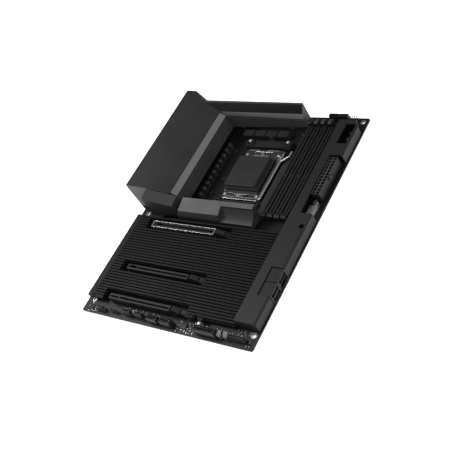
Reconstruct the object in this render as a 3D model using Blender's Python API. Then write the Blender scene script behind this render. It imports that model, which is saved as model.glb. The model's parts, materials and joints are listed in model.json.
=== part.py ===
"""ATX motherboard with full covers: one closed solid for each real piece.

Sizes and places are in millimetres and are turned into metres where a mesh is made.
Board coordinates: x runs from the rear (port) edge, y from the top edge downwards,
z up from the component side of the circuit board.  The model frame has its origin at
the centre of the bounding box's bottom, +Y towards the top edge and +Z up.
"""
import math

import bpy
import bmesh
from mathutils import Vector

MM = 0.001

# ---- the board ---------------------------------------------------------------------
BOARD_W = 244.0            # rear edge to memory edge
BOARD_L = 305.0            # top edge to bottom edge
BOARD_T = 1.6
BOARD_CORNER = 2.5
GAP = 0.3                  # between pieces that touch
MOUNT_HOLE_R = 2.0
MOUNT_INSET = 6.35
MOUNT_X_REAR = 10.16
MOUNT_X_TOP = 33.02
MOUNT_X_MID = 165.1
MOUNT_Y_MID = 163.83
MOUNT_Y_BOTTOM_INSET = 16.71
BACK_DEPTH = 2.2           # solder side: plate and tails below the board
REAR_OVERHANG = 2.7        # aerial sockets past the rear edge

# ---- processor socket --------------------------------------------------------------
SOCKET_X = 133.0
SOCKET_Y = 94.5
SOCKET_SIDE = 40.0
SOCKET_H = 4.5
FRAME_W = 54.0
FRAME_L = 74.0
FRAME_T = 1.6
FRAME_Z = 2.6
PLATE_W = 41.0             # load plate
PLATE_T = 1.2
PLATE_RAIL = 6.0
CAP_SKIRT = (-26.2, 22.5, -22.0, 26.0)   # from the socket's centre: rear, memory side, top, bottom
CAP_CROWN = (-25.4, 17.6, -19.9, 23.7)
CAP_SKIRT_H = 2.2
CAP_H = 6.0
CAP_HOLLOW = 18.0            # half width of the space under the cap
HINGE_PIN_R = 1.0
LEVER_R = 1.1
LEVER_CLEARANCE = 0.9
LEVER_CRANK = 18.0
LEVER_REACH = 56.0
LEVER_FLARE = 8.0
LEVER_TIP = 7.0
COOLER_X = 54.0            # cooler screw pattern
COOLER_Y = 90.0
COOLER_HOLE_R = 2.9
COOLER_BOSS_R = 2.5
BRACKET_L = 64.0
BRACKET_W = 11.0
BRACKET_H = 8.0
BRACKET_POST_R = 5.2
BRACKET_LUG = 3.5
SCREW_HEAD_R = 3.0
BACKPLATE_W = 68.0
BACKPLATE_L = 102.0
BACKPLATE_WINDOW = 42.0
BACKPLATE_T = BACK_DEPTH - GAP

# ---- memory slots ------------------------------------------------------------------
DIMM_COUNT = 4
DIMM_PITCH = 9.1
DIMM_LAST_INSET = 37.4     # last slot's centre to the memory edge
DIMM_W = 6.6
DIMM_H = 8.2
DIMM_TOP = 22.0
DIMM_LENGTH = 131.0
DIMM_GROOVE_W = 1.7
DIMM_GROOVE_DEPTH = 6.4
DIMM_KEY = 72.0
DIMM_KEY_W = 2.0
DIMM_LATCH_L = 9.0
DIMM_LATCH_H = 15.5
DIMM_LATCH_W = 4.6
DIMM_LATCH_PIVOT_Z = 4.2

# ---- expansion slots ---------------------------------------------------------------
PCIE_X = 39.4
PCIE_LENGTH = 91.2
PCIE_FIRST_Y = 183.1
PCIE_STEPS = (0.0, 61.0, 101.6)
PCIE_W = 6.4
PCIE_H = 10.8
PCIE_GROOVE_W = 2.0
PCIE_GROOVE_DEPTH = 7.6
PCIE_KEY = 13.8
PCIE_KEY_W = 1.6
ARMOUR_WALL = 0.8
PCIE_LATCH_L = 13.0
PCIE_LATCH_W = 5.6
PCIE_LATCH_H = 13.5
PCIE_FOOT_L = 4.4

# ---- rear port cover and voltage-regulator heatsinks ---------------------------------
COVER_REAR = -0.4
COVER_LOW = 7.0            # lowest edge of the cover's skirt
COVER_WALL = 2.0
RIDGE_REAR_Z = 45.0
RIDGE_X = 35.5             # crease between the flat roof and the sloped face
RIDGE_Z = 42.0
TOP_ARM_Y = 14.0           # outer edge of the top arm at the rear
TOP_ARM_END_Y = 10.8
TOP_ARM_END_Z = 35.0
ROOF_LIP = 3.4             # flat strip along the arm's outer edge
CREASE_X = 60.5            # crease between the sloped face and the heatsink's bright edge
CREASE_Z = 33.2
CREASE_Y = 24.6            # far corner of that crease
FIN_X = 67.8               # fin wall of the rear heatsink
FIN_TOP = 28.0
FIN_Y = 25.7               # fin wall of the top heatsink
FIN_END_Y = 22.3
FIN_END_Z = 20.0
CREASE_END_Y = 20.2
CREASE_END_Z = 26.5
COVER_END_Y = 156.8        # lower end of the rear cover
END_PANEL = ((31.5, 0.0, 42.3), (67.8, -3.7, 28.0))    # upper edge, y from the cover's lower end
END_PANEL_RUN = (-4.0, 12.4, -4.4)                      # from the upper edge to the lower edge
TIP_W = 15.2               # narrow end beside the top mounting hole
ARM_TO_DIMM = 1.0
SINK_BASE_Z = 7.4
FIN_GROOVES = 5
FIN_GROOVE_H = 1.5
FIN_GROOVE_DEPTH = 3.2
STAGE_H = 6.6
CHOKE_Y = 33.2
CAPACITOR_X = 78.0
CAPACITOR_R = 3.1
CAPACITOR_H = 8.0
CAPACITOR_PITCH = 8.5
CAPACITOR_COUNT = 10
CAPACITOR_FIRST_Y = 54.5

# ---- storage and chipset covers ------------------------------------------------------
RIB_PITCH = 3.58
RIB_W = 2.35
RIB_TOP = 8.6
RIB_FLOOR = 5.4
COVER_BOTTOM = 3.6
RIB_FIRST_Y = 172.7
RIB_BORDER = 8.0           # plain band along the rear edge
RIB_LEFT = 4.0
RIB_FOOT_R = 2.6
RIB_BOTTOM_INSET = 16.4    # cover's lower edge to the bottom edge of the board
SLOT_VOID_X = 27.5
SLOT_VOID_LENGTH = 124.0
SLOT_VOID_UP = 9.0
SLOT_VOID_DOWN = 5.6
CENTRE_X0 = 73.0           # cover above the first slot
CENTRE_Y0 = 150.6
CENTRE_TOP_Z = 24.0
CENTRE_LOW_Z = 18.4
CENTRE_Y1 = 166.6
CENTRE_FOOT_Y = 169.6
CENTRE_SCOOP_X = 131.0
CENTRE_BAND = 5.4
SCOOP_FLOOR_Z = 13.0
SCOOP_LIP_Z = 9.2
SCOOP_FLOOR_Y = 163.0
SCOOP_LIP_Y = 171.0

# ---- edge cover ----------------------------------------------------------------------
STRIP_INNER_INSET = 28.2   # inner edge to the memory edge of the board
STRIP_OUTER_INSET = 1.4
STRIP_TOP = 13.6
STRIP_WALL = 1.6
STRIP_Y0 = 15.0
STRIP_BOTTOM_INSET = 21.6
STRIP_CUT_INSET = 16.6     # openings start this far from the memory edge
BUTTON_BAY = (21.5, 50.0)
POWER_BAY = (67.0, 147.0)
SATA_BAY = (216.6, 250.6)
ACCESS_R = 3.0

# ---- connectors ----------------------------------------------------------------------
ATX_Y = 69.4
ATX_PINS = 12
ATX_PITCH = 4.2
ATX_W = 10.0
ATX_H = 12.6
ATX_HOLE = 3.4
ATX_HOLE_DEPTH = 9.0
ATX_INSET = 15.6
EPS_X = (41.5, 63.5)
EPS_Y = 1.2
EPS_PINS = 4
SATA_LENGTH = 16.4
SATA_DEPTH = 14.4
SATA_H = 12.8
PORT_DEPTH = 17.0
PORT_FACE = -2.4
SHIELD_T = 0.8
USB_MOUTH_W = 12.6
USB_MOUTH_H = 5.0
USB_LEVELS = (1.6, 10.0, 20.6, 29.0)
USB_C_W = 9.0
LAN_W = 11.8
JACK_Y = (126.0, 134.0, 142.0)
JACK_Z = 6.6
JACK_R = 1.8
ANTENNA_Y = (127.0, 141.0)
ANTENNA_Z = 25.0
REAR_BUTTON_Y = 19.0
REAR_BUTTON_Z = (7.0, 16.4)
REAR_BUTTON_R = 2.1
SHIELD_Y = (5.0, 156.0)
SHIELD_TOP = 40.4
BUTTON_TRAVEL = 0.8
BUTTON_R = 2.2
PIN_PITCH = 2.54
PIN_HALF = 0.32
HEADER_INSET = 10.4

# ---- frame ---------------------------------------------------------------------------
CENTRE_X = (BOARD_W - REAR_OVERHANG) / 2
CENTRE_Y = BOARD_L / 2
BASE_Z = BOARD_T + BACK_DEPTH

# ---- materials: base colour, roughness, metallic -------------------------------------
FINISHES = {
    "board": ((0.012, 0.012, 0.013), 0.45, 0.0),
    "cover": ((0.036, 0.037, 0.038), 0.42, 0.3),
    "ribs": ((0.024, 0.025, 0.026), 0.45, 0.3),
    "plastic": ((0.014, 0.014, 0.015), 0.5, 0.0),
    "cap": ((0.035, 0.036, 0.037), 0.5, 0.0),
    "steel": ((0.62, 0.62, 0.63), 0.25, 1.0),
    "shield": ((0.30, 0.30, 0.31), 0.35, 1.0),
    "latch": ((0.20, 0.20, 0.21), 0.45, 0.0),
}


def finish(name):
    """Return the named material, made once."""
    known = bpy.data.materials.get(name)
    if known:
        return known
    colour, roughness, metallic = FINISHES[name]
    material = bpy.data.materials.new(name)
    material.use_nodes = True
    shader = material.node_tree.nodes["Principled BSDF"]
    shader.inputs["Base Color"].default_value = (*colour, 1.0)
    shader.inputs["Roughness"].default_value = roughness
    shader.inputs["Metallic"].default_value = metallic
    return material


# ---- shapes: each is (corners, faces) in board coordinates -----------------------------
def box(x0, x1, y0, y1, z0, z1):
    return hull([(x, y, z) for x in (x0, x1) for y in (y0, y1) for z in (z0, z1)])


def hull(corners):
    """The convex solid around some corners."""
    mesh = bmesh.new()
    for corner in corners:
        mesh.verts.new(corner)
    made = bmesh.ops.convex_hull(mesh, input=mesh.verts)
    spare = set(made["geom_interior"]) | set(made["geom_unused"])
    loose = [item for item in spare if isinstance(item, bmesh.types.BMVert)]
    bmesh.ops.delete(mesh, geom=loose, context="VERTS")
    bmesh.ops.dissolve_limit(mesh, angle_limit=0.001, verts=mesh.verts, edges=mesh.edges)
    mesh.verts.index_update()
    points = [tuple(vert.co) for vert in mesh.verts]
    faces = [[vert.index for vert in face.verts] for face in mesh.faces]
    mesh.free()
    return points, faces


def loft(first, last):
    """A solid between two closed outlines with the same number of corners."""
    count = len(first)
    sides = [[i, (i + 1) % count, count + (i + 1) % count, count + i] for i in range(count)]
    caps = [list(range(count))[::-1], list(range(count, 2 * count))]
    return list(first) + list(last), sides + caps


def prism(outline, axis, low, high):
    """An outline pushed along an axis; its two numbers are the other two coordinates."""
    def lift(a, b, c):
        return {"x": (c, a, b), "y": (a, c, b), "z": (a, b, c)}[axis]
    return loft([lift(a, b, low) for a, b in outline], [lift(a, b, high) for a, b in outline])


def circle(a, b, radius, sides=16):
    turn = 2 * math.pi / sides
    return [(a + radius * math.cos(turn * (i + 0.5)), b + radius * math.sin(turn * (i + 0.5)))
            for i in range(sides)]


def rod(axis, a, b, radius, low, high, sides=16):
    return prism(circle(a, b, radius, sides), axis, low, high)


def rounded(x0, x1, y0, y1, radius, steps=4):
    """The outline of a rectangle with round corners."""
    corners = ((x1 - radius, y1 - radius, 0), (x0 + radius, y1 - radius, 90),
               (x0 + radius, y0 + radius, 180), (x1 - radius, y0 + radius, 270))
    outline = []
    for a, b, start in corners:
        for step in range(steps + 1):
            angle = math.radians(start + 90 * step / steps)
            outline.append((a + radius * math.cos(angle), b + radius * math.sin(angle)))
    return outline


def wire(path, radius, sides=8):
    """A bent round wire: rings of corners square to each bend of its path."""
    path = [Vector(point) for point in path]
    corners, faces = [], []
    for index, point in enumerate(path):
        before = (point - path[index - 1]).normalized() if index else None
        after = (path[index + 1] - point).normalized() if index + 1 < len(path) else None
        along = before or after
        bend = (before + after).normalized() if before and after else along
        side = Vector((0, 0, 1)).cross(along).normalized()
        up = along.cross(side)
        for step in range(sides):
            angle = 2 * math.pi * (step + 0.5) / sides
            offset = radius * (math.cos(angle) * side + math.sin(angle) * up)
            slide = -offset.dot(bend) / along.dot(bend)
            corners.append(tuple(point + offset + slide * along))
    for ring in range(len(path) - 1):
        for step in range(sides):
            a = ring * sides + step
            b = ring * sides + (step + 1) % sides
            faces.append([a, b, b + sides, a + sides])
    faces.append(list(range(sides))[::-1])
    faces.append([(len(path) - 1) * sides + step for step in range(sides)])
    return corners, faces


# ---- objects ---------------------------------------------------------------------------
def to_model(point):
    x, y, z = point
    return Vector(((x - CENTRE_X) * MM, (CENTRE_Y - y) * MM, (z + BASE_Z) * MM))


def object_from(name, shapes, pivot):
    """One object holding some shapes, with its origin at the pivot and faces outward."""
    origin = to_model(pivot)
    build = bmesh.new()
    for corners, faces in shapes:
        verts = [build.verts.new(to_model(corner) - origin) for corner in corners]
        for face in faces:
            build.faces.new([verts[index] for index in face])
    bmesh.ops.recalc_face_normals(build, faces=build.faces)
    mesh = bpy.data.meshes.new(name)
    build.to_mesh(mesh)
    build.free()
    made = bpy.data.objects.new(name, mesh)
    made.location = origin
    bpy.context.scene.collection.objects.link(made)
    return made


def piece(name, look, shape, add=(), cut=(), inlay=(), pivot=(0.0, 0.0, 0.0), smooth=False):
    """A named sub-part: a shape, shapes joined to it, shapes cut from it, shapes put back in.

    Each of add, cut and inlay holds shapes, or lists of shapes that don't touch each other.
    """
    made = object_from(name, [shape], pivot)
    made.data.materials.append(finish(look))
    for label, operation, shapes in (("add", "UNION", add), ("cut", "DIFFERENCE", cut),
                                     ("inlay", "UNION", inlay)):
        for index, tool_shape in enumerate(shapes):
            group = tool_shape if isinstance(tool_shape, list) else [tool_shape]
            tool = object_from(f"{name}.{label}.{index}", group, pivot)
            tool.hide_render = True
            tool.display_type = "WIRE"
            step = made.modifiers.new(f"{label.title()} {index + 1}", "BOOLEAN")
            step.operation = operation
            step.object = tool
            step.solver = "EXACT"
    if smooth:
        made.data.shade_smooth()
        made.data.set_sharp_from_angle(angle=math.radians(40))
    return made


# ---- places worked out from the sizes ----------------------------------------------------
MOUNT_X_EDGE = BOARD_W - MOUNT_INSET
MOUNT_Y_BOTTOM = BOARD_L - MOUNT_Y_BOTTOM_INSET
MOUNT_HOLES = (
    [(x, MOUNT_INSET) for x in (MOUNT_X_TOP, MOUNT_X_MID, MOUNT_X_EDGE)]
    + [(x, y) for y in (MOUNT_Y_MID, MOUNT_Y_BOTTOM) for x in (MOUNT_X_REAR, MOUNT_X_MID, MOUNT_X_EDGE)]
)
COOLER_HOLES = [(SOCKET_X + sx * COOLER_X / 2, SOCKET_Y + sy * COOLER_Y / 2)
                for sy in (-1, 1) for sx in (-1, 1)]
DIMM_X = [BOARD_W - DIMM_LAST_INSET - DIMM_PITCH * (DIMM_COUNT - 1 - i) for i in range(DIMM_COUNT)]
DIMM_BOTTOM = DIMM_TOP + DIMM_LENGTH
SLOT_Y = [PCIE_FIRST_Y + step for step in PCIE_STEPS]
ARM_END_X = DIMM_X[0] - DIMM_W / 2 - ARM_TO_DIMM
STRIP_X0 = BOARD_W - STRIP_INNER_INSET
STRIP_X1 = BOARD_W - STRIP_OUTER_INSET
STRIP_CUT_X = BOARD_W - STRIP_CUT_INSET
STRIP_Y1 = BOARD_L - STRIP_BOTTOM_INSET
RIB_X1 = STRIP_X0 - GAP
RIB_Y1 = BOARD_L - RIB_BOTTOM_INSET
FRAME_X0 = SOCKET_X - FRAME_W / 2
FRAME_X1 = SOCKET_X + FRAME_W / 2
FRAME_Y0 = SOCKET_Y - FRAME_L / 2
FRAME_Y1 = SOCKET_Y + FRAME_L / 2
LEVER_X = FRAME_X1 + LEVER_CLEARANCE + LEVER_R
HINGE_Z = FRAME_Z + FRAME_T + GAP + HINGE_PIN_R
PLATE_Z = HINGE_Z - PLATE_T / 2
PLATE_Y0 = FRAME_Y0 + 5.0
PLATE_Y1 = FRAME_Y1 - 6.4
LEVER_Y = FRAME_Y1 - 1.4
LEVER_Z = FRAME_Z + FRAME_T + GAP + LEVER_R


# ---- circuit board and its solder side ------------------------------------------------
def circuit_board():
    holes = [rod("z", x, y, MOUNT_HOLE_R, -BOARD_T - 1, 1) for x, y in MOUNT_HOLES]
    holes += [rod("z", x, y, COOLER_HOLE_R, -BOARD_T - 1, 1) for x, y in COOLER_HOLES]
    outline = rounded(0, BOARD_W, 0, BOARD_L, BOARD_CORNER)
    piece("pcb", "board", prism(outline, "z", -BOARD_T, 0), cut=[holes])


def solder_side():
    top = -BOARD_T - GAP
    low = -BOARD_T - BACK_DEPTH
    plate = box(SOCKET_X - BACKPLATE_W / 2, SOCKET_X + BACKPLATE_W / 2,
                SOCKET_Y - BACKPLATE_L / 2, SOCKET_Y + BACKPLATE_L / 2, low, top)
    half = BACKPLATE_WINDOW / 2
    window = box(SOCKET_X - half, SOCKET_X + half, SOCKET_Y - half, SOCKET_Y + half, low - 1, top + 1)
    bosses = [rod("z", x, y, COOLER_BOSS_R, top - 0.5, GAP) for x, y in COOLER_HOLES]
    piece("cpu_backplate", "steel", plate, add=[bosses], cut=[window])
    tails = {
        "solder_tails_ports": (6.0, 16.0, 14.0, 146.0),
        "solder_tails_headers": (24.0, BOARD_W - 24.0, BOARD_L - 9.0, BOARD_L - 4.0),
    }
    for name, (x0, x1, y0, y1) in tails.items():
        land = box(x0, x1, y0, y1, top - 0.6, top)
        along_x = x1 - x0 > y1 - y0
        length = x1 - x0 if along_x else y1 - y0
        count = int(length // 8)
        rows = []
        for i in range(count):
            middle = (i + 0.5) * length / count
            for side in (-1, 1):
                if along_x:
                    rows.append(rod("z", x0 + middle, (y0 + y1) / 2 + side * (y1 - y0) * 0.3,
                                    0.7, low, top - 0.3, 6))
                else:
                    rows.append(rod("z", (x0 + x1) / 2 + side * (x1 - x0) * 0.3, y0 + middle,
                                    0.7, low, top - 0.3, 6))
        piece(name, "steel", land, add=[rows])


# ---- processor socket ------------------------------------------------------------------
def socket():
    half = SOCKET_SIDE / 2
    body = box(SOCKET_X - half, SOCKET_X + half, SOCKET_Y - half, SOCKET_Y + half, GAP, SOCKET_H)
    well = box(SOCKET_X - half + 2, SOCKET_X + half - 2, SOCKET_Y - half + 2, SOCKET_Y + half - 2,
               SOCKET_H - 1.6, SOCKET_H + 1)
    piece("socket_body", "plastic", body, cut=[well])

    ring = prism(rounded(FRAME_X0, FRAME_X1, FRAME_Y0, FRAME_Y1, 3.0), "z", FRAME_Z, FRAME_Z + FRAME_T)
    inner = box(SOCKET_X - half - GAP, SOCKET_X + half + GAP, SOCKET_Y - half - GAP,
                SOCKET_Y + half + GAP, 0, FRAME_Z + FRAME_T + 1)
    corners = [(x, y) for x in (FRAME_X0 + 4.4, FRAME_X1 - 4.4) for y in (FRAME_Y0 + 9.4, FRAME_Y1 - 4.6)]
    feet = [rod("z", x, y, 3.0, GAP, FRAME_Z + 0.4, 12) for x, y in corners]
    piece("socket_frame", "steel", ring, add=[feet], cut=[inner])


def about_socket(reach):
    """Rear, memory-side, top and bottom limits measured from the socket's centre."""
    return SOCKET_X + reach[0], SOCKET_X + reach[1], SOCKET_Y + reach[2], SOCKET_Y + reach[3]


def load_plate():
    """The plate that turns on a pin along the socket's top side, and its hold-down tongue."""
    x0 = SOCKET_X - PLATE_W / 2
    x1 = SOCKET_X + PLATE_W / 2
    plate = box(x0, x1, PLATE_Y0, PLATE_Y1, PLATE_Z, PLATE_Z + PLATE_T)
    pin = rod("x", FRAME_Y0 + 4.0, HINGE_Z, HINGE_PIN_R, x0 + 8, x1 - 8, 10)
    ears = [box(SOCKET_X + side * 8 - 2.5, SOCKET_X + side * 8 + 2.5, FRAME_Y0 + 4.0, PLATE_Y0 + 1,
                PLATE_Z, PLATE_Z + PLATE_T) for side in (-1, 1)]
    tongue = box(SOCKET_X - 4, SOCKET_X + 4, PLATE_Y1 - 1, LEVER_Y - LEVER_R - GAP, PLATE_Z,
                 PLATE_Z + PLATE_T)
    window = box(x0 + PLATE_RAIL, x1 - PLATE_RAIL, PLATE_Y0 + PLATE_RAIL + 4,
                 PLATE_Y1 - PLATE_RAIL - 3, PLATE_Z - 1, PLATE_Z + PLATE_T + 1)
    piece("load_plate", "steel", plate, add=[[pin], ears, [tongue]], cut=[window],
          pivot=(SOCKET_X, FRAME_Y0 + 4.0, HINGE_Z))

    low = PLATE_Z + PLATE_T + GAP
    skirt_x0, skirt_x1, skirt_y0, skirt_y1 = about_socket(CAP_SKIRT)
    x0, x1, y0, y1 = about_socket(CAP_CROWN)
    skirt = prism(rounded(skirt_x0, skirt_x1, skirt_y0, skirt_y1, 3.0, 3), "z", low, low + CAP_SKIRT_H)
    crown = loft([(x, y, low + 0.5) for x, y in rounded(x0 - 0.4, x1 + 0.4, y0 - 0.4, y1 + 0.4, 3.0, 3)],
                 [(x, y, low + CAP_H) for x, y in rounded(x0, x1, y0, y1, 2.6, 3)])
    under = box(SOCKET_X - CAP_HOLLOW, SOCKET_X + CAP_HOLLOW - 1.0, SOCKET_Y - CAP_HOLLOW + 2.0,
                SOCKET_Y + CAP_HOLLOW - 2.0, low - 1, low + CAP_H - 1.6)
    piece("socket_cap", "cap", skirt, add=[crown], cut=[under], pivot=(SOCKET_X, SOCKET_Y, low))


def lever():
    """Bent steel wire: crank shaft across the socket's bottom side, arm and flared handle."""
    start = SOCKET_X - LEVER_CRANK
    path = [(start, LEVER_Y, LEVER_Z), (LEVER_X - 1.2, LEVER_Y, LEVER_Z),
            (LEVER_X, LEVER_Y - 1.2, LEVER_Z), (LEVER_X, LEVER_Y - LEVER_REACH, LEVER_Z),
            (LEVER_X + LEVER_FLARE, LEVER_Y - LEVER_REACH - LEVER_FLARE, LEVER_Z),
            (LEVER_X + LEVER_FLARE, LEVER_Y - LEVER_REACH - LEVER_FLARE - LEVER_TIP, LEVER_Z)]
    piece("socket_lever", "steel", wire(path, LEVER_R), pivot=(SOCKET_X, LEVER_Y, LEVER_Z), smooth=True)


def cooler_brackets():
    for name, sign in (("cooler_bracket_top", -1), ("cooler_bracket_bottom", 1)):
        y = SOCKET_Y + sign * COOLER_Y / 2
        low = 2 * GAP
        bar = box(SOCKET_X - BRACKET_L / 2, SOCKET_X + BRACKET_L / 2, y - BRACKET_W / 2,
                  y + BRACKET_W / 2, low, BRACKET_H - 2.5)
        posts = [rod("z", x, y, BRACKET_POST_R, low, BRACKET_H) for x in
                 (SOCKET_X - COOLER_X / 2, SOCKET_X + COOLER_X / 2)]
        lug = y + sign * (BRACKET_W / 2 + BRACKET_LUG)
        hook = box(SOCKET_X - 4, SOCKET_X + 4, min(y, lug), max(y, lug), BRACKET_H - 4.5, BRACKET_H - 2.5)
        tip = box(SOCKET_X - 3, SOCKET_X + 3, min(lug, lug - sign * 2), max(lug, lug - sign * 2),
                  BRACKET_H - 4, BRACKET_H + 1.5)
        bores = [rod("z", x, y, SCREW_HEAD_R + GAP, BRACKET_H - 2.2, BRACKET_H + 1) for x in
                 (SOCKET_X - COOLER_X / 2, SOCKET_X + COOLER_X / 2)]
        piece(name, "plastic", bar, add=[posts, hook, tip], cut=[bores])


# ---- memory ------------------------------------------------------------------------------
def memory_slots():
    for index, x in enumerate(DIMM_X):
        body = box(x - DIMM_W / 2, x + DIMM_W / 2, DIMM_TOP, DIMM_BOTTOM, GAP, DIMM_H)
        tower = hull([(x + side * DIMM_W / 2, y, z) for side in (-1, 1) for y, z in
                      ((DIMM_BOTTOM - 5, DIMM_H - 1), (DIMM_BOTTOM, DIMM_H - 1),
                       (DIMM_BOTTOM - 4, DIMM_H + 1.6), (DIMM_BOTTOM - 1, DIMM_H + 1.6))])
        cheeks = [box(x + side * DIMM_W / 2 - (side + 1) / 2 * 0.7, x + side * DIMM_W / 2 + (1 - side) / 2 * 0.7,
                      DIMM_TOP - DIMM_LATCH_L + 1.5, DIMM_TOP + 1, GAP, DIMM_LATCH_PIVOT_Z + 2.2)
                  for side in (-1, 1)]
        floor = box(x - DIMM_W / 2, x + DIMM_W / 2, DIMM_TOP - DIMM_LATCH_L + 1.5, DIMM_TOP + 1,
                    GAP, GAP + 0.8)
        half = DIMM_GROOVE_W / 2
        key = DIMM_TOP + DIMM_KEY
        base = DIMM_H - DIMM_GROOVE_DEPTH
        grooves = [box(x - half, x + half, DIMM_TOP + 2, key, base, DIMM_H + 4),
                   box(x - half, x + half, key + DIMM_KEY_W, DIMM_BOTTOM - 2, base, DIMM_H + 4)]
        piece(f"dimm_slot_{index + 1}", "plastic", body, add=[[tower], [floor], cheeks], cut=[grooves])

        y = DIMM_TOP - GAP
        heel = DIMM_LATCH_PIVOT_Z - 2.2
        thumb = [(y - 1.6, heel), (y, DIMM_LATCH_PIVOT_Z), (y, DIMM_LATCH_H - 2.5),
                 (y + 1.6, DIMM_LATCH_H - 1.2), (y - 1.0, DIMM_LATCH_H),
                 (y - DIMM_LATCH_L + 2.0, DIMM_LATCH_H - 2.0),
                 (y - DIMM_LATCH_L + 4.0, DIMM_LATCH_PIVOT_Z + 3.6), (y - 4.2, heel)]
        shape = prism(thumb, "x", x - DIMM_LATCH_W / 2, x + DIMM_LATCH_W / 2)
        piece(f"dimm_latch_{index + 1}", "latch", shape, pivot=(x, y - 2.6, DIMM_LATCH_PIVOT_Z))


# ---- expansion slots ---------------------------------------------------------------------
def expansion_slots():
    for index, y in enumerate(SLOT_Y):
        x0 = PCIE_X
        x1 = PCIE_X + PCIE_LENGTH
        body = box(x0, x1, y - PCIE_W / 2, y + PCIE_W / 2, GAP, PCIE_H)
        foot = box(x1 - 1, x1 + PCIE_FOOT_L, y - PCIE_W / 2, y + PCIE_W / 2, GAP, 2.2)
        half = PCIE_GROOVE_W / 2
        base = PCIE_H - PCIE_GROOVE_DEPTH
        grooves = [box(x0 + 1.6, x0 + PCIE_KEY, y - half, y + half, base, PCIE_H + 1),
                   box(x0 + PCIE_KEY + PCIE_KEY_W, x1 - 1.6, y - half, y + half, base, PCIE_H + 1)]
        piece(f"pcie_slot_{index + 1}", "plastic", body, add=[[foot]], cut=[grooves])

        low = 2.2 + 2 * GAP
        left = x1 + GAP + ARMOUR_WALL + GAP
        paddle = [(left + 1.2, low), (left, low + 1.8), (left, PCIE_H - 1.0), (left + 1.6, PCIE_LATCH_H - 1.5),
                  (left + 4.6, PCIE_LATCH_H), (left + PCIE_LATCH_L, PCIE_LATCH_H - 3.4),
                  (left + PCIE_LATCH_L, PCIE_LATCH_H - 5.6), (left + 5.6, 5.6), (left + 3.2, low)]
        shape = prism(paddle, "y", y - PCIE_LATCH_W / 2, y + PCIE_LATCH_W / 2)
        piece(f"pcie_latch_{index + 1}", "plastic", shape, pivot=(left + 1.8, y, low + 1.8))

    y = SLOT_Y[0]
    reach = PCIE_W / 2 + GAP
    outer = box(PCIE_X - GAP - ARMOUR_WALL, PCIE_X + PCIE_LENGTH + GAP + ARMOUR_WALL,
                y - reach - ARMOUR_WALL, y + reach + ARMOUR_WALL, 2.2 + GAP, PCIE_H + 0.4)
    core = box(PCIE_X - GAP, PCIE_X + PCIE_LENGTH + GAP, y - reach, y + reach, 0, PCIE_H + 1)
    piece("pcie_armour_1", "steel", outer, cut=[core])


# ---- rear port cover and heatsinks -----------------------------------------------------
def rear_cover():
    """A shell over the rear ports: flat roof, sloped face, slanted lower end panel."""
    low = COVER_LOW
    roof_y1 = COVER_END_Y
    (rear_x, rear_y, rear_z), (front_x, front_y, front_z) = END_PANEL
    run_x, run_y, run_z = END_PANEL_RUN
    slant_y = roof_y1 + front_y * (CREASE_X - rear_x) / (front_x - rear_x)
    roof = hull([(COVER_REAR, 0.4, low), (COVER_REAR, 0.4, RIDGE_REAR_Z), (TIP_W - 1.6, 0.4, RIDGE_REAR_Z - 1.2),
                 (TIP_W, 0.4, RIDGE_REAR_Z - 3.0), (TIP_W + 7, 0.4, 27.7), (TIP_W + 7, 0.4, low),
                 (TIP_W + 2, TOP_ARM_Y + ROOF_LIP - 1, RIDGE_REAR_Z - 1.5),
                 (RIDGE_X, TOP_ARM_Y + ROOF_LIP, RIDGE_Z), (RIDGE_X, TOP_ARM_Y, RIDGE_Z - 3.0),
                 (RIDGE_X, TOP_ARM_Y, low), (CREASE_X, CREASE_Y, CREASE_Z), (CREASE_X, CREASE_Y, low),
                 (COVER_REAR, roof_y1, low), (COVER_REAR, roof_y1, RIDGE_REAR_Z),
                 (RIDGE_X, roof_y1, RIDGE_Z), (RIDGE_X, roof_y1, low),
                 (CREASE_X, slant_y, CREASE_Z), (CREASE_X, slant_y, low)])
    rear_edge = (rear_x, roof_y1 + rear_y, rear_z)
    front_edge = (front_x, roof_y1 + front_y, front_z)
    upper = [rear_edge, front_edge]
    lower = [(x + run_x, y + run_y, z + run_z) for x, y, z in upper]
    end = hull([*upper, *lower, *((x, y, low) for x, y, _ in upper + lower)])
    wall = COVER_WALL
    lintel = SHIELD_TOP + GAP
    hollow = hull([(-6, 2.6, -1), (-6, 2.6, lintel), (TIP_W + 4, 2.6, -1), (TIP_W - 2, 2.6, lintel - 1),
                   (RIDGE_X - wall, TOP_ARM_Y + wall, -1), (RIDGE_X - wall, TOP_ARM_Y + wall, 36),
                   (CREASE_X + 9, CREASE_Y + wall, CREASE_Z - 5.8), (CREASE_X + 9, CREASE_Y + wall, -1),
                   (-6, roof_y1 - 2, -1), (-6, roof_y1 - 2, lintel), (RIDGE_X, roof_y1 - 2, lintel - 1.2),
                   (CREASE_X, slant_y - 1, CREASE_Z - 2.4), (FIN_X + 9, slant_y - 1, CREASE_Z - 6.0),
                   (FIN_X + 9, slant_y - 1, -1)])
    inner_upper = [(rear_x + wall, roof_y1 - wall - 1, rear_z - 3.2),
                   (front_x - wall - 1, front_edge[1] - wall, front_z - 2.2)]
    inner_lower = [(lower[0][0] + wall, lower[0][1] - wall, lower[0][2] - 3.0),
                   (lower[1][0] - wall, lower[1][1] - wall, lower[1][2] - 2.6)]
    end_hollow = hull([*inner_upper, *inner_lower, *((x, y, -1) for x, y, _ in inner_upper + inner_lower)])
    corner = prism([(RIDGE_X + 0.001, -5), (BOARD_W, -5), (BOARD_W, FIN_Y + GAP), (FIN_X, FIN_Y + GAP),
                    (CREASE_X, CREASE_Y + GAP), (RIDGE_X + 0.001, TOP_ARM_Y + ROOF_LIP + GAP)], "z", -5, 70)
    piece("io_cover", "cover", roof, add=[end], cut=[hollow, end_hollow, corner])


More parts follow.
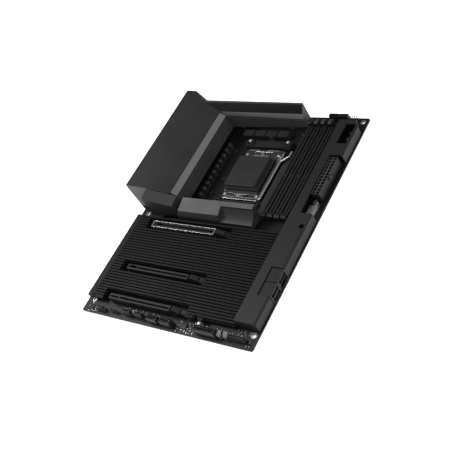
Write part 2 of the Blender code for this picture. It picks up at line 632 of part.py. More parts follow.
def fin_grooves(start, stop, top_start, top_stop, along_y):
    """Slots between the fins of a wall, fanned out where the wall's top edge rises."""
    cuts = []
    for index in range(FIN_GROOVES):
        share = (index + 0.55) / (FIN_GROOVES + 0.1)
        ends = []
        for (a, wall), top in ((start, top_start), (stop, top_stop)):
            middle = SINK_BASE_Z + share * (top - SINK_BASE_Z)
            half = FIN_GROOVE_H / 2 * min(1.0, (top - SINK_BASE_Z) / 18)
            section = [(wall - FIN_GROOVE_DEPTH, middle - half), (wall + 4, middle - half),
                       (wall + 4, middle + half), (wall - FIN_GROOVE_DEPTH, middle + half)]
            ends.append([(b, a, z) if along_y else (a, b, z) for b, z in section])
        cuts.append(loft(*ends))
    return cuts


def rear_heatsink():
    y0 = FIN_Y + 2 * GAP
    y1 = COVER_END_Y + END_PANEL[1][1] - GAP
    inside = RIDGE_X + 0.5
    base = SINK_BASE_Z

    section = [(inside, base), (inside, RIDGE_Z - 8.0), (CREASE_X + GAP, CREASE_Z - 5.6),
               (CREASE_X + GAP, CREASE_Z - 0.1), (FIN_X, FIN_TOP), (FIN_X, base)]
    block = loft([(x, y0, z) for x, z in section], [(x, y1, z) for x, z in section])
    feet = [rod("z", x, y, 3.0, GAP, base + 1, 10) for x, y in ((40, y0 + 8), (40, y1 - 8))]
    grooves = fin_grooves((y0 - 2, FIN_X), (y1 + 2, FIN_X), FIN_TOP, FIN_TOP, True)
    piece("vrm_heatsink_rear", "ribs", block, add=[feet], cut=[grooves])


def top_heatsink():
    x0 = RIDGE_X + GAP
    x1 = ARM_END_X
    base = SINK_BASE_Z
    lip = ROOF_LIP
    block = hull([(x0, TOP_ARM_Y, RIDGE_Z - 0.4), (x0, TOP_ARM_Y + lip, RIDGE_Z - 0.4),
                  (CREASE_X + GAP, CREASE_Y, CREASE_Z), (FIN_X, FIN_Y, FIN_TOP), (FIN_X, FIN_Y, base),
                  (x0, TOP_ARM_Y, base), (x0, TOP_ARM_Y + lip, base),
                  (x1, TOP_ARM_END_Y, TOP_ARM_END_Z), (x1, TOP_ARM_END_Y + lip * 0.7, TOP_ARM_END_Z - 0.3),
                  (x1, CREASE_END_Y, CREASE_END_Z), (x1, FIN_END_Y, FIN_END_Z), (x1, FIN_END_Y, base),
                  (x1, TOP_ARM_END_Y, base)])
    feet = [rod("z", x, 18.4, 2.6, GAP, base + 1, 10) for x in (x0 + 40, x1 - 26)]
    grooves = fin_grooves((FIN_X - 2, FIN_Y), (x1 + 2, FIN_END_Y), FIN_TOP, FIN_END_Z, False)
    piece("vrm_heatsink_top", "ribs", block, add=[feet], cut=[grooves])


def block_row(along_y, middle, start, stop, pitch, half, height):
    """Evenly spaced blocks and the thin land that carries them, as (land, blocks)."""
    count = max(1, int((stop - start) // pitch))
    step = (stop - start) / count
    blocks = []
    for i in range(count):
        a0 = start + i * step + 0.9
        a1 = start + (i + 1) * step - 0.9
        across = (middle - half, middle + half)
        sides = (*across, a0, a1) if along_y else (a0, a1, *across)
        blocks.append(box(*sides, GAP + 0.4, height))
    across = (middle - half + 1, middle + half - 1)
    sides = (*across, start, stop) if along_y else (start, stop, *across)
    return box(*sides, GAP, GAP + 0.8), blocks


def power_stages():
    """Voltage-regulator blocks under and beside the heatsinks, and the capacitor row."""
    land, blocks = block_row(True, 50.0, 30.0, 148.0, 12.0, 5.0, STAGE_H)
    piece("power_stages_rear", "plastic", land, add=[blocks])
    x0 = SOCKET_X - 46.0
    land, chokes = block_row(False, CHOKE_Y, x0, x0 + 67.0, 13.4, 4.6, STAGE_H)
    piece("chokes_top", "plastic", land, add=[chokes])
    last = CAPACITOR_FIRST_Y + (CAPACITOR_COUNT - 1) * CAPACITOR_PITCH
    cans = [rod("z", CAPACITOR_X, CAPACITOR_FIRST_Y + i * CAPACITOR_PITCH, CAPACITOR_R, GAP + 0.4,
                CAPACITOR_H, 14) for i in range(CAPACITOR_COUNT)]
    land = box(CAPACITOR_X - 1.4, CAPACITOR_X + 1.4, CAPACITOR_FIRST_Y - 2, last + 2, GAP, GAP + 0.8)
    piece("capacitor_row", "cover", land, add=[cans])


# ---- storage and chipset covers ----------------------------------------------------------
def rib_outline(y0, y1, first):
    """Side view of a ribbed plate: flat under, square ribs on top at the common pitch."""
    outline = [(y1, COVER_BOTTOM), (y0, COVER_BOTTOM), (y0, RIB_FLOOR)]
    centre = first
    while centre + RIB_W / 2 < y1 - 0.2:
        outline += [(centre - RIB_W / 2, RIB_FLOOR), (centre - RIB_W / 2, RIB_TOP),
                    (centre + RIB_W / 2, RIB_TOP), (centre + RIB_W / 2, RIB_FLOOR)]
        centre += RIB_PITCH
    return outline + [(y1, RIB_FLOOR)]


def slot_void(y):
    return box(SLOT_VOID_X, SLOT_VOID_X + SLOT_VOID_LENGTH, y - SLOT_VOID_UP, y + SLOT_VOID_DOWN,
               COVER_BOTTOM - 2, RIB_TOP + 2)


def ribbed_covers():
    """Plates over the storage drives and the chipset, split in the gaps between ribs."""
    names = ("m2_cover_upper", "m2_cover_middle", "m2_cover_lower")
    edges = [RIB_FIRST_Y - RIB_W / 2 - 0.3]
    for y in SLOT_Y[1:]:
        ribs_above = round((y - SLOT_VOID_UP - RIB_FIRST_Y) / RIB_PITCH)
        edges.append(RIB_FIRST_Y + (ribs_above - 0.5) * RIB_PITCH)
    edges.append(RIB_Y1)
    hole_r = ACCESS_R + 1.0
    for index, name in enumerate(names):
        y0 = edges[index]
        y1 = edges[index + 1] - GAP
        first = y0 + (RIB_PITCH / 2 if index else RIB_W / 2 + 0.3)
        last = y1 if index < 2 else y1 - RIB_W
        plate = prism(rib_outline(y0, last, first), "x", RIB_LEFT + RIB_BORDER, RIB_X1)
        border = box(RIB_LEFT, RIB_LEFT + RIB_BORDER + 0.5, y0, y1, COVER_BOTTOM, RIB_TOP)
        feet = [rod("z", x, (y0 + y1) / 2 + shift, RIB_FOOT_R, GAP, COVER_BOTTOM + 0.6, 10)
                for x, shift in ((RIB_LEFT + 12, 0), (RIB_X1 - 24, 0))]
        add = [[border], feet]
        if index == 2:
            add.append([box(RIB_LEFT, RIB_X1 - 40, last - 0.5, y1, COVER_BOTTOM, RIB_TOP - 0.8)])
        cut = [slot_void(SLOT_Y[index])]
        if index == 0:
            cut.append(rod("z", MOUNT_X_REAR, MOUNT_Y_MID, hole_r, 0, RIB_TOP + 2))
        if index == 2:
            cut.append(rod("z", MOUNT_X_MID, MOUNT_Y_BOTTOM, hole_r, 0, RIB_TOP + 2))
        piece(name, "ribs", plate, add=add, cut=cut)


def centre_cover():
    """The sloped cover between the socket and the first slot, with a scooped right half."""
    x0 = CENTRE_X0
    x1 = ARM_END_X
    body = loft([(x0, CENTRE_Y0, COVER_BOTTOM), (x0, CENTRE_Y0, CENTRE_TOP_Z), (x0 - 2, CENTRE_Y1, CENTRE_LOW_Z),
                 (x0 - 4, CENTRE_FOOT_Y, CENTRE_LOW_Z - 6), (x0 - 4, CENTRE_FOOT_Y, COVER_BOTTOM)],
                [(x1, CENTRE_Y0, COVER_BOTTOM), (x1, CENTRE_Y0, CENTRE_TOP_Z), (x1, CENTRE_Y1, CENTRE_LOW_Z),
                 (x1, CENTRE_FOOT_Y, CENTRE_LOW_Z - 6), (x1, CENTRE_FOOT_Y, COVER_BOTTOM)])
    band_y = CENTRE_Y0 + CENTRE_BAND
    scoop = hull([(x, y, z) for x in (CENTRE_SCOOP_X, x1 + 5) for y, z in
                  ((band_y, CENTRE_TOP_Z + 3), (band_y, CENTRE_TOP_Z - 4), (SCOOP_FLOOR_Y, SCOOP_FLOOR_Z),
                   (SCOOP_LIP_Y + 1, SCOOP_LIP_Z), (SCOOP_LIP_Y + 1, CENTRE_TOP_Z + 3))])
    hollow = box(x0 + 3, x1 - 3, CENTRE_Y0 + 2.4, CENTRE_FOOT_Y - 2.4, COVER_BOTTOM - 1, SCOOP_LIP_Z - 2.4)
    feet = [rod("z", x, CENTRE_Y0 + 9.0, 2.6, GAP, SCOOP_LIP_Z - 1.6, 10) for x in (x0 + 12, x1 - 12)]
    piece("m2_cover_centre", "cover", body, cut=[scoop, hollow], inlay=[feet])


def side_plate():
    """The low plate between the socket's lever and the memory slots, notched for the handle."""
    x1 = DIMM_X[0] - DIMM_W / 2 - 2 * GAP
    x0 = max(LEVER_X + LEVER_R + 2.6, SOCKET_X + BRACKET_L / 2 + 2 * GAP)
    notch_x = LEVER_X + LEVER_FLARE + 4.0
    bend_y = LEVER_Y - LEVER_REACH
    top_y = SOCKET_Y - COOLER_Y / 2
    notch_x = min(notch_x, x1 - 1.2)
    outline = [(x0, CENTRE_Y0 - 1.0), (x0, bend_y + 5.0), (notch_x, bend_y - 5.0), (notch_x, top_y),
               (x1, top_y - 6.0), (x1, CENTRE_Y0 - 1.0)]
    piece("side_plate", "cover", prism(outline, "z", 2 * GAP, 4.4))


# ---- cover along the memory edge ---------------------------------------------------------
def edge_strip():
    wall = STRIP_WALL
    chamfer = 2.0
    x0, x1 = STRIP_X0, STRIP_X1
    side = [(x0, 2 * GAP), (x0, STRIP_TOP - 0.6), (x0 + 0.6, STRIP_TOP), (x1 - chamfer, STRIP_TOP),
            (x1, STRIP_TOP - chamfer), (x1, 2 * GAP)]
    shell = prism(side, "y", STRIP_Y0, STRIP_Y1)
    under = box(x0 + wall, x1 - wall, STRIP_Y0 + wall, STRIP_Y1 - wall, -1, STRIP_TOP - 2.0)
    top_corner = prism([(x1 - 6, STRIP_Y0 - 2), (x1 + 2, STRIP_Y0 + 12), (x1 + 2, STRIP_Y0 - 2)], "z", -1, 20)
    bays = [box(STRIP_CUT_X, x1 - 2.4, BUTTON_BAY[0], BUTTON_BAY[1], STRIP_TOP - 3, STRIP_TOP + 2),
            box(STRIP_CUT_X, x1 + 3, POWER_BAY[0], POWER_BAY[1], -1, STRIP_TOP + 2),
            box(STRIP_CUT_X + 0.4, x1 + 3, SATA_BAY[0] - GAP, SATA_BAY[1] + GAP, -1, STRIP_TOP + 2),
            rod("z", MOUNT_X_EDGE, MOUNT_Y_MID, ACCESS_R, -1, STRIP_TOP + 2)]
    piece("edge_strip", "cover", shell, cut=[under, top_corner, bays])


# ---- connectors --------------------------------------------------------------------------
def pin_block(x0, x1, y0, y1, height, columns, rows, hole, depth):
    """A power connector: a block and its square sockets, as (shape, sockets)."""
    holes = []
    for i in range(columns):
        for j in range(rows):
            x = x0 + (i + 0.5) * (x1 - x0) / columns
            y = y0 + (j + 0.5) * (y1 - y0) / rows
            holes.append(box(x - hole / 2, x + hole / 2, y - hole / 2, y + hole / 2,
                             height - depth, height + 1))
    return box(x0, x1, y0, y1, GAP, height), holes


def power_connectors():
    x0 = BOARD_W - ATX_INSET
    block, holes = pin_block(x0, x0 + ATX_W, ATX_Y, ATX_Y + ATX_PINS * ATX_PITCH + 1.2, ATX_H, 2,
                             ATX_PINS, ATX_HOLE, ATX_HOLE_DEPTH)
    hook = box(x0 + ATX_W - 0.5, x0 + ATX_W + 1.8, ATX_Y + 23, ATX_Y + 28, ATX_H - 5, ATX_H - 1.5)
    piece("atx_power_24pin", "plastic", block, add=[hook], cut=[holes])
    for index, x in enumerate(EPS_X):
        block, holes = pin_block(x, x + EPS_PINS * ATX_PITCH + 1.2, EPS_Y, EPS_Y + ATX_W, ATX_H,
                                 EPS_PINS, 2, ATX_HOLE, ATX_HOLE_DEPTH)
        piece(f"eps_power_{index + 1}", "plastic", block, cut=[holes])


def sata_blocks():
    x1 = BOARD_W - 0.8
    x0 = x1 - SATA_DEPTH
    for index in range(2):
        y0 = SATA_BAY[0] + GAP + index * (SATA_LENGTH + 2 * GAP)
        y1 = y0 + SATA_LENGTH
        block = box(x0, x1, y0, y1, GAP, SATA_H)
        mouths = []
        for low in (1.5, 7.3):
            mouths.append(box(x1 - 7, x1 + 1, y0 + 1.6, y1 - 1.6, low, low + 4.3))
        piece(f"sata_block_{index + 1}", "plastic", block, cut=[mouths])


def header(x0, y0, columns, rows, height, shroud=True):
    """A pin header as (base, tray, pins): a shrouded tray, or a bare row when it has none."""
    rim = 0.8 if shroud else 0.0
    width = columns * PIN_PITCH + 2 * rim
    depth = rows * PIN_PITCH + 2 * rim
    base = box(x0, x0 + width, y0, y0 + depth, GAP, height if shroud else 2.4)
    tray = [box(x0 + rim, x0 + width - rim, y0 + rim, y0 + depth - rim, 2.4, height + 1)] if shroud else []
    tip = height - 0.8 if shroud else height
    pins = []
    for i in range(columns):
        for j in range(rows):
            x = x0 + rim + (i + 0.5) * PIN_PITCH
            y = y0 + rim + (j + 0.5) * PIN_PITCH
            pins.append(box(x - PIN_HALF, x + PIN_HALF, y - PIN_HALF, y + PIN_HALF, 1.4, tip))
    return base, tray, pins


def header_row(name, land, headers):
    bases = [base for base, _, _ in headers]
    trays = [box_ for _, tray, _ in headers for box_ in tray]
    pins = [pin for _, _, group in headers for pin in group]
    piece(name, "plastic", land, add=[bases], cut=[trays] if trays else [], inlay=[pins])


def small_headers():
    y = BOARD_L - HEADER_INSET
    low_row = [header(24.0, y + 2.0, 5, 2, 8.4, False), header(46.0, y + 2.6, 4, 1, 8.4, False),
               header(66.0, y + 0.6, 4, 1, 9.0), header(84.0, y + 0.6, 4, 1, 9.0),
               header(104.0, y, 5, 2, 8.8), header(123.0, y, 5, 2, 8.8)]
    header_row("bottom_headers", box(26.0, 134.0, y + 3.0, y + 3.8, GAP, GAP + 0.7), low_row)
    x = BOARD_W - 73.6
    header_row("usb3_header", box(x + 1, x + 20, y + 1, y + 3, GAP, GAP + 0.7), [header(x, y, 10, 2, 9.4)])
    x = BOARD_W - 31.0
    header_row("panel_header", box(x + 1, x + 18, y + 1, y + 3, GAP, GAP + 0.7),
               [header(x, y, 8, 2, 8.4, False)])
    top = 2.2
    x = BOARD_W - 48.0
    top_row = [header(x, top, 4, 1, 9.4), header(x + 12.6, top, 4, 1, 9.4),
               header(x + 25.6, top + 0.8, 4, 1, 8.0, False)]
    header_row("top_headers", box(x + 2, x + 34, top + 1.6, top + 2.4, GAP, GAP + 0.7), top_row)

    x = BOARD_W - 14.4
    shell = box(x, x + 8.4, 131.0, 143.0, GAP, 6.4)
    mouth = box(x + 1, x + 7.4, 132.0, 142.0, 1.4, 8)
    piece("usb_c_header", "shield", shell, cut=[mouth])


def edge_controls():
    """Bench buttons and the code display in the opening near the top corner."""
    x = BOARD_W - 11.0
    buttons = (("power_button", 27.4), ("reset_button", 36.4))
    housings = [box(x - 3.2, x + 3.2, y - 3.2, y + 3.2, GAP, 4.2) for _, y in buttons]
    display = box(x - 3.4, x + 3.4, 42.2, 48.6, GAP, 5.0)
    wells = [rod("z", x, y, BUTTON_R, 1.6, 6) for _, y in buttons]
    land = box(x - 1, x + 1, 25.0, 47.0, GAP, GAP + 0.8)
    piece("control_base", "plastic", land, add=[housings + [display]], cut=[wells])
    for name, y in buttons:
        cap = rod("z", x, y, BUTTON_R - GAP, 1.6 + GAP + BUTTON_TRAVEL, 5.6, 12)
        piece(name, "latch", cap, pivot=(x, y, 5.6))


# ---- rear ports --------------------------------------------------------------------------
def rear_ports():
    """Port blocks along the rear edge, their shield plate and two push buttons."""
    face = PORT_FACE + SHIELD_T + GAP
    half = USB_MOUTH_W / 2
    slim = USB_C_W / 2
    usb = [(-half, half, z, z + USB_MOUTH_H, 11.0) for z in USB_LEVELS]
    pair = [(a, b, z, z + 3.3, 7.0) for a, b in ((5.4, 5.4 + 2 * slim), (-slim - 7.0, slim - 7.0))
            for z in (3.4, 11.6)]
    video = [(-13.0, -13.0 + 14.2 - 3.0, 19.0, 23.6, 9.0)] + pair
    lan = usb[:2] + [(-LAN_W / 2, LAN_W / 2, 19.4, 27.8, 11.0)]
    blocks = (("usb_stack_1", 39.0, 14.6, 36.0, usb), ("usb_stack_2", 57.4, 14.6, 36.0, usb),
              ("display_ports", 81.0, 28.0, 26.0, video), ("network_port", 105.4, 16.4, 30.0, lan))
    for name, y, width, height, mouths in blocks:
        block = box(face, PORT_DEPTH, y - width / 2, y + width / 2, GAP, height)
        cuts = [box(face - 1, face + reach, y + a0, y + a1, z0, z1) for a0, a1, z0, z1, reach in mouths]
        piece(name, "shield", block, cut=[cuts])

    jacks = box(face, 13.0, 118.6, 149.4, GAP, 13.4)
    spine = box(9.0, 13.0, 122.0, 146.0, 12.0, 21.0)
    antenna = box(face, 13.0, 118.6, 149.4, 20.0, 30.0)
    bores = [rod("x", y, JACK_Z, JACK_R, face - 1, face + 10, 12) for y in JACK_Y]
    posts = [rod("x", y, ANTENNA_Z, 3.0, face - 1.4, face + 1, 12) for y in ANTENNA_Y]
    piece("audio_jacks", "plastic", jacks, add=[spine, antenna, posts], cut=[bores])

    y = REAR_BUTTON_Y
    base = box(face, 14.0, y - 9, y + 9, GAP, 24.0)
    well_r = REAR_BUTTON_R + GAP
    wells = [rod("x", y, z, well_r, face - 1, face + 6, 12) for z in REAR_BUTTON_Z]
    piece("rear_button_block", "plastic", base, cut=[wells])
    for name, z in zip(("clear_button", "update_button"), REAR_BUTTON_Z):
        cap = rod("x", y, z, REAR_BUTTON_R, PORT_FACE - 0.1, face + 6 - BUTTON_TRAVEL - GAP, 12)
        piece(name, "latch", cap, pivot=(PORT_FACE, y, z))

    plate = box(PORT_FACE, PORT_FACE + SHIELD_T, SHIELD_Y[0], SHIELD_Y[1], -BASE_Z + 0.1, SHIELD_TOP)
    low, high = PORT_FACE - 1, PORT_FACE + 2
    windows = [box(low, high, y - width / 2 + 0.6, y + width / 2 - 0.6, GAP + 0.8, height - 0.8)
               for _, y, width, height, _ in blocks]
    windows += [rod("x", y, JACK_Z, 3.0, low, high, 12) for y in JACK_Y]
    windows += [rod("x", y, ANTENNA_Z, 3.4, low, high, 12) for y in ANTENNA_Y]
    windows += [rod("x", REAR_BUTTON_Y, z, well_r, low, high, 12) for z in REAR_BUTTON_Z]
    piece("port_shield", "shield", plate, cut=[windows])


def main():
    for item in list(bpy.data.objects):
        bpy.data.objects.remove(item, do_unlink=True)
    circuit_board()
    solder_side()
    socket()
    load_plate()
    lever()
    cooler_brackets()
    memory_slots()
    expansion_slots()
    rear_cover()
    rear_heatsink()
    top_heatsink()
    power_stages()
    ribbed_covers()
    centre_cover()
    side_plate()
    edge_strip()
    power_connectors()
    sata_blocks()
    small_headers()
    edge_controls()
    rear_ports()


main()
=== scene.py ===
"""Looks for a covered ATX motherboard: finishes, fine parts and the studio around the solid model.

Board coordinates are in millimetres: x from the rear edge, y from the top edge downwards,
z up from the component side.  They come from the circuit board's own box.
"""

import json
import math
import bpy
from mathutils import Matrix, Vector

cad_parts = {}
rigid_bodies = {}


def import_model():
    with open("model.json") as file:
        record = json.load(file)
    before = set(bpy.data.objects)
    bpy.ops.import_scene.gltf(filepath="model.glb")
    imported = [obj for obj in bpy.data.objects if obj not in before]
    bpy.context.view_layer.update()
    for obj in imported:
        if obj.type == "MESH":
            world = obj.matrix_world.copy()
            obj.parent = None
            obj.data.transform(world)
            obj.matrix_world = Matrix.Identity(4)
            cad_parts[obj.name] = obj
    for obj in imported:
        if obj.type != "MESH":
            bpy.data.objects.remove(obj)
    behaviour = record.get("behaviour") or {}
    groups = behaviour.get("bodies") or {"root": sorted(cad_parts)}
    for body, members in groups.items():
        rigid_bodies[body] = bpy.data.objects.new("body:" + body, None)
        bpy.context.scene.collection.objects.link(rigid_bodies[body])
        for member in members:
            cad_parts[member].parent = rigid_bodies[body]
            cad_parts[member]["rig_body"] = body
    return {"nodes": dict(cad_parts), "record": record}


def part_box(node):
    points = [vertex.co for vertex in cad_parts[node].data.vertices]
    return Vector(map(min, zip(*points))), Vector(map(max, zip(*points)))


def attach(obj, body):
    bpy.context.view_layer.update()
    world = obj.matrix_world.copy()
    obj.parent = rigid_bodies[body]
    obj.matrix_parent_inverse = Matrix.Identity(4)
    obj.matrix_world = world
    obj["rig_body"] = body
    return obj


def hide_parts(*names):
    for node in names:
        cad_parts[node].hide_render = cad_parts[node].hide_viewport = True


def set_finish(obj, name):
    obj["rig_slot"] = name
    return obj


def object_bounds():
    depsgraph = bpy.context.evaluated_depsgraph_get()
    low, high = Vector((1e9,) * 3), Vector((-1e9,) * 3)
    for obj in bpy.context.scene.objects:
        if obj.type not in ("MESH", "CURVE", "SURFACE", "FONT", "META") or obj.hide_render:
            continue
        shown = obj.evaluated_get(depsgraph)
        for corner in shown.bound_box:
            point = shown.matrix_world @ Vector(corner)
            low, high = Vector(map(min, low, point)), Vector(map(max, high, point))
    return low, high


bl_info = {
    "name": "Covered Motherboard",
    "version": (1, 0, 0),
    "blender": (4, 5, 0),
    "location": "3D View > Sidebar > Motherboard",
    "description": "Dresses a solid motherboard with its finishes, fine parts and a studio",
    "category": "Object",
}

import bmesh
import bpy
from bpy.props import FloatProperty, FloatVectorProperty, IntProperty, PointerProperty
from mathutils import Matrix, Vector

MM = 0.001
BOARD = "board"
FLOOR_HALF = 16.0              # metres, so that its edge stays far off
FLOOR_GAP = 0.0004             # floor below the lowest solid, metres
LAMP_REACH = 1.3               # metres from the place the lamps aim at
LAMP_AIM = Vector((0, 0.02, 0.02))
CAMERA_PLACE = (0.58148, -0.40436, 0.60111)
CAMERA_RIGHT = Vector((0.77410, 0.44660, -0.44869))
CAMERA_UP = Vector((-0.09961, 0.78585, 0.61034))
CAMERA_BACK = Vector((0.62518, -0.42777, 0.65281))

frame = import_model()
CAD_LOW, CAD_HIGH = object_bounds()
PCB_LOW, PCB_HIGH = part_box("pcb")


# ---- places --------------------------------------------------------------------------------
def at(x, y, z):
    """A board place in millimetres, in the model's metres."""
    return Vector((PCB_LOW.x + x * MM, PCB_HIGH.y - y * MM, PCB_HIGH.z + z * MM))


def span(node):
    """A solid's reach in board millimetres: x0, x1, y0, y1, z0, z1."""
    low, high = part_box(node)
    return ((low.x - PCB_LOW.x) / MM, (high.x - PCB_LOW.x) / MM,
            (PCB_HIGH.y - high.y) / MM, (PCB_HIGH.y - low.y) / MM,
            (low.z - PCB_HIGH.z) / MM, (high.z - PCB_HIGH.z) / MM)


def srgb(code):
    """An sRGB hex colour as linear red, green and blue."""
    levels = [int(code[i:i + 2], 16) / 255 for i in (0, 2, 4)]
    return tuple(level / 12.92 if level <= 0.04045 else ((level + 0.055) / 1.055) ** 2.4
                 for level in levels)


# ---- settings ------------------------------------------------------------------------------
class FinishSettings(bpy.types.PropertyGroup):
    """Colours and grain of the board's finishes."""
    cover: FloatVectorProperty(name="Cover", description="Powder coat on the port and edge covers",
                               subtype="COLOR", size=3, min=0, max=1, default=srgb("212122"))
    ribs: FloatVectorProperty(name="Ribs", description="Anodised skin of the ribbed covers and heatsinks",
                              subtype="COLOR", size=3, min=0, max=1, default=srgb("0d0d0e"))
    mask: FloatVectorProperty(name="Solder mask", description="Matt black solder mask",
                              subtype="COLOR", size=3, min=0, max=1, default=srgb("0d0d0e"))
    plastic: FloatVectorProperty(name="Connectors", description="Moulded nylon of slots and connectors",
                                 subtype="COLOR", size=3, min=0, max=1, default=srgb("131314"))
    cap: FloatVectorProperty(name="Socket cap", description="Moulded cover over the processor socket",
                             subtype="COLOR", size=3, min=0, max=1, default=srgb("242425"))
    # This grey is also painted on the tops of the 24-pin socket as a painted highlight.
    latch: FloatVectorProperty(name="Latches", description="Grey moulded memory latches and buttons",
                               subtype="COLOR", size=3, min=0, max=1, default=srgb("3a3a3c"))
    grain: FloatProperty(name="Coat grain", description="Size of one bump of the powder coat",
                         unit="LENGTH", subtype="DISTANCE", min=0.00005, max=0.003, default=0.0007)


class PartSettings(bpy.types.PropertyGroup):
    """Sizes of the fine parts."""
    pin: FloatProperty(name="Pin width", description="Width of a square header pin",
                       unit="LENGTH", subtype="DISTANCE", min=0.0003, max=0.001, default=0.00064)
    chip_pitch: FloatProperty(name="Chip part spacing", description="Least distance between small parts",
                              unit="LENGTH", subtype="DISTANCE", min=0.001, max=0.01, default=0.0032)
    seed: IntProperty(name="Scatter seed", description="Seed that places the small parts",
                      min=0, max=999, default=7)


class StudioSettings(bpy.types.PropertyGroup):
    """Floor, lamps and camera."""
    floor: FloatVectorProperty(name="Floor", description="Colour of the paper floor",
                               subtype="COLOR", size=3, min=0, max=1, default=srgb("fbfbfb"))
    sky: FloatProperty(name="Surround", description="Strength of the white surround",
                       min=0, max=4, default=0.2)
    key: FloatProperty(name="Key lamp", description="Power of the lamp beyond the rear edge",
                       unit="POWER", min=0, max=200, default=8.0)
    fill: FloatProperty(name="Fill lamp", description="Power of the lamp over the memory edge",
                        unit="POWER", min=0, max=200, default=2.0)
    front: FloatProperty(name="Front lamp", description="Power of the broad lamp beside the camera",
                         unit="POWER", min=0, max=200, default=11.0)
    over: FloatProperty(name="Overhead lamp", description="Power of the lamp over the lower edge",
                        unit="POWER", min=0, max=200, default=2.5)
    lens: FloatProperty(name="Lens", description="Focal length on a 36 mm sensor",
                        unit="CAMERA", subtype="DISTANCE_CAMERA", min=10, max=300, default=65.71)


# ---- nodes ---------------------------------------------------------------------------------
def add(tree, kind, inputs=None, **settings):
    """Add a node, set its settings, then set or link its inputs."""
    node = tree.nodes.new(kind)
    for key, value in settings.items():
        setattr(node, key, value)
    for key, value in (inputs or {}).items():
        if isinstance(value, bpy.types.NodeSocket):
            tree.links.new(value, node.inputs[key])
        else:
            node.inputs[key].default_value = value
    return node


def start_material(name, colour, roughness, metallic=0.0, shine=0.5):
    """A material with its Principled shader, and the object coordinates its patterns use."""
    material = bpy.data.materials.new(name)
    material.use_nodes = True
    tree = material.node_tree
    shader = tree.nodes["Principled BSDF"]
    shader.inputs["Base Color"].default_value = (*colour, 1)
    shader.inputs["Roughness"].default_value = roughness
    shader.inputs["Metallic"].default_value = metallic
    shader.inputs["Specular IOR Level"].default_value = shine
    place = add(tree, "ShaderNodeTexCoord").outputs["Object"]
    return material, tree, shader, place


def ramp_between(tree, value, first, last, interpolation="LINEAR"):
    """A two-stop colour ramp; each stop is a position and a colour."""
    node = add(tree, "ShaderNodeValToRGB", {"Fac": value})
    node.color_ramp.interpolation = interpolation
    for stop, (position, colour) in zip(node.color_ramp.elements, (first, last)):
        stop.position = position
        stop.color = (*colour, 1)
    return node.outputs["Color"]


def raise_by(tree, shader, height, height_mm, strength):
    """Bump the shader's surface by a pattern."""
    bump = add(tree, "ShaderNodeBump", {"Strength": strength, "Distance": height_mm * MM, "Height": height})
    tree.links.new(bump.outputs["Normal"], shader.inputs["Normal"])


def vary(tree, shader, place, colour, size_mm, amount, rough, rough_amount):
    """Soft patches of slightly different colour and gloss, as on any handled surface."""
    cloud = add(tree, "ShaderNodeTexNoise", {"Vector": place, "Scale": 1 / (size_mm * MM), "Detail": 3.0})
    low = tuple(level * (1 - amount) for level in colour)
    high = tuple(min(1, level * (1 + amount)) for level in colour)
    tone = ramp_between(tree, cloud.outputs["Fac"], (0.3, low), (0.7, high))
    tree.links.new(tone, shader.inputs["Base Color"])
    gloss = add(tree, "ShaderNodeMapRange", {"Value": cloud.outputs["Fac"], "From Min": 0.3, "From Max": 0.7,
                                             "To Min": rough - rough_amount, "To Max": rough + rough_amount})
    tree.links.new(gloss.outputs["Result"], shader.inputs["Roughness"])


def grain_bump(tree, shader, place, size_mm, height_mm, strength):
    """A fine even pebble."""
    grain = add(tree, "ShaderNodeTexNoise", {"Vector": place, "Scale": 1 / (size_mm * MM), "Detail": 2.0})
    raise_by(tree, shader, grain.outputs["Fac"], height_mm, strength)


def powder_coat(name, colour, grain_mm, rough):
    # Powder-coated pressed aluminium: a satin skin with a fine even pebble and no metal showing.
    # The real pebble is about 0.1 mm; it is drawn coarser so that it still shows.
    material, tree, shader, place = start_material(name, colour, rough, shine=0.4)
    vary(tree, shader, place, colour, 38.0, 0.10, rough, 0.04)
    grain_bump(tree, shader, place, grain_mm, 0.02, 0.35)
    return material


def anodised(name, colour, rough):
    # Black anodised extruded aluminium: darker than paint, with faint draw lines along each fin.
    material, tree, shader, place = start_material(name, colour, rough, shine=0.18)
    vary(tree, shader, place, colour, 30.0, 0.12, rough, 0.05)
    drawn = add(tree, "ShaderNodeMapping", {"Vector": place, "Scale": (30.0, 1600.0, 1600.0)})
    grain_bump(tree, shader, drawn.outputs["Vector"], 1000.0, 0.012, 0.3)
    return material


def moulded(name, colour, rough):
    # Glass-filled nylon, injection moulded: even dull black with a spark-eroded texture, 0.45 mm.
    material, tree, shader, place = start_material(name, colour, rough, shine=0.35)
    vary(tree, shader, place, colour, 12.0, 0.12, rough, 0.05)
    grain_bump(tree, shader, place, 0.45, 0.012, 0.25)
    return material


def rolled_steel(name, colour, rough):
    # Nickel-plated rolled steel: bright, with rolling lines about 0.25 mm apart.
    material, tree, shader, place = start_material(name, colour, rough, 1.0)
    lines = add(tree, "ShaderNodeMapping", {"Vector": place, "Scale": (4000.0, 120.0, 4000.0)})
    streak = add(tree, "ShaderNodeTexNoise", {"Vector": lines.outputs["Vector"], "Scale": 1.0, "Detail": 2.0})
    gloss = add(tree, "ShaderNodeMapRange", {"Value": streak.outputs["Fac"], "To Min": rough - 0.06,
                                             "To Max": rough + 0.10})
    tree.links.new(gloss.outputs["Result"], shader.inputs["Roughness"])
    raise_by(tree, shader, streak.outputs["Fac"], 0.01, 0.12)
    return material


def plated(name, colour, rough):
    # Electroplated contact metal, gold or tin: smooth, with a slight mottling 0.6 mm across.
    material, tree, shader, place = start_material(name, colour, rough, 1.0)
    vary(tree, shader, place, colour, 0.6, 0.08, rough, 0.05)
    return material


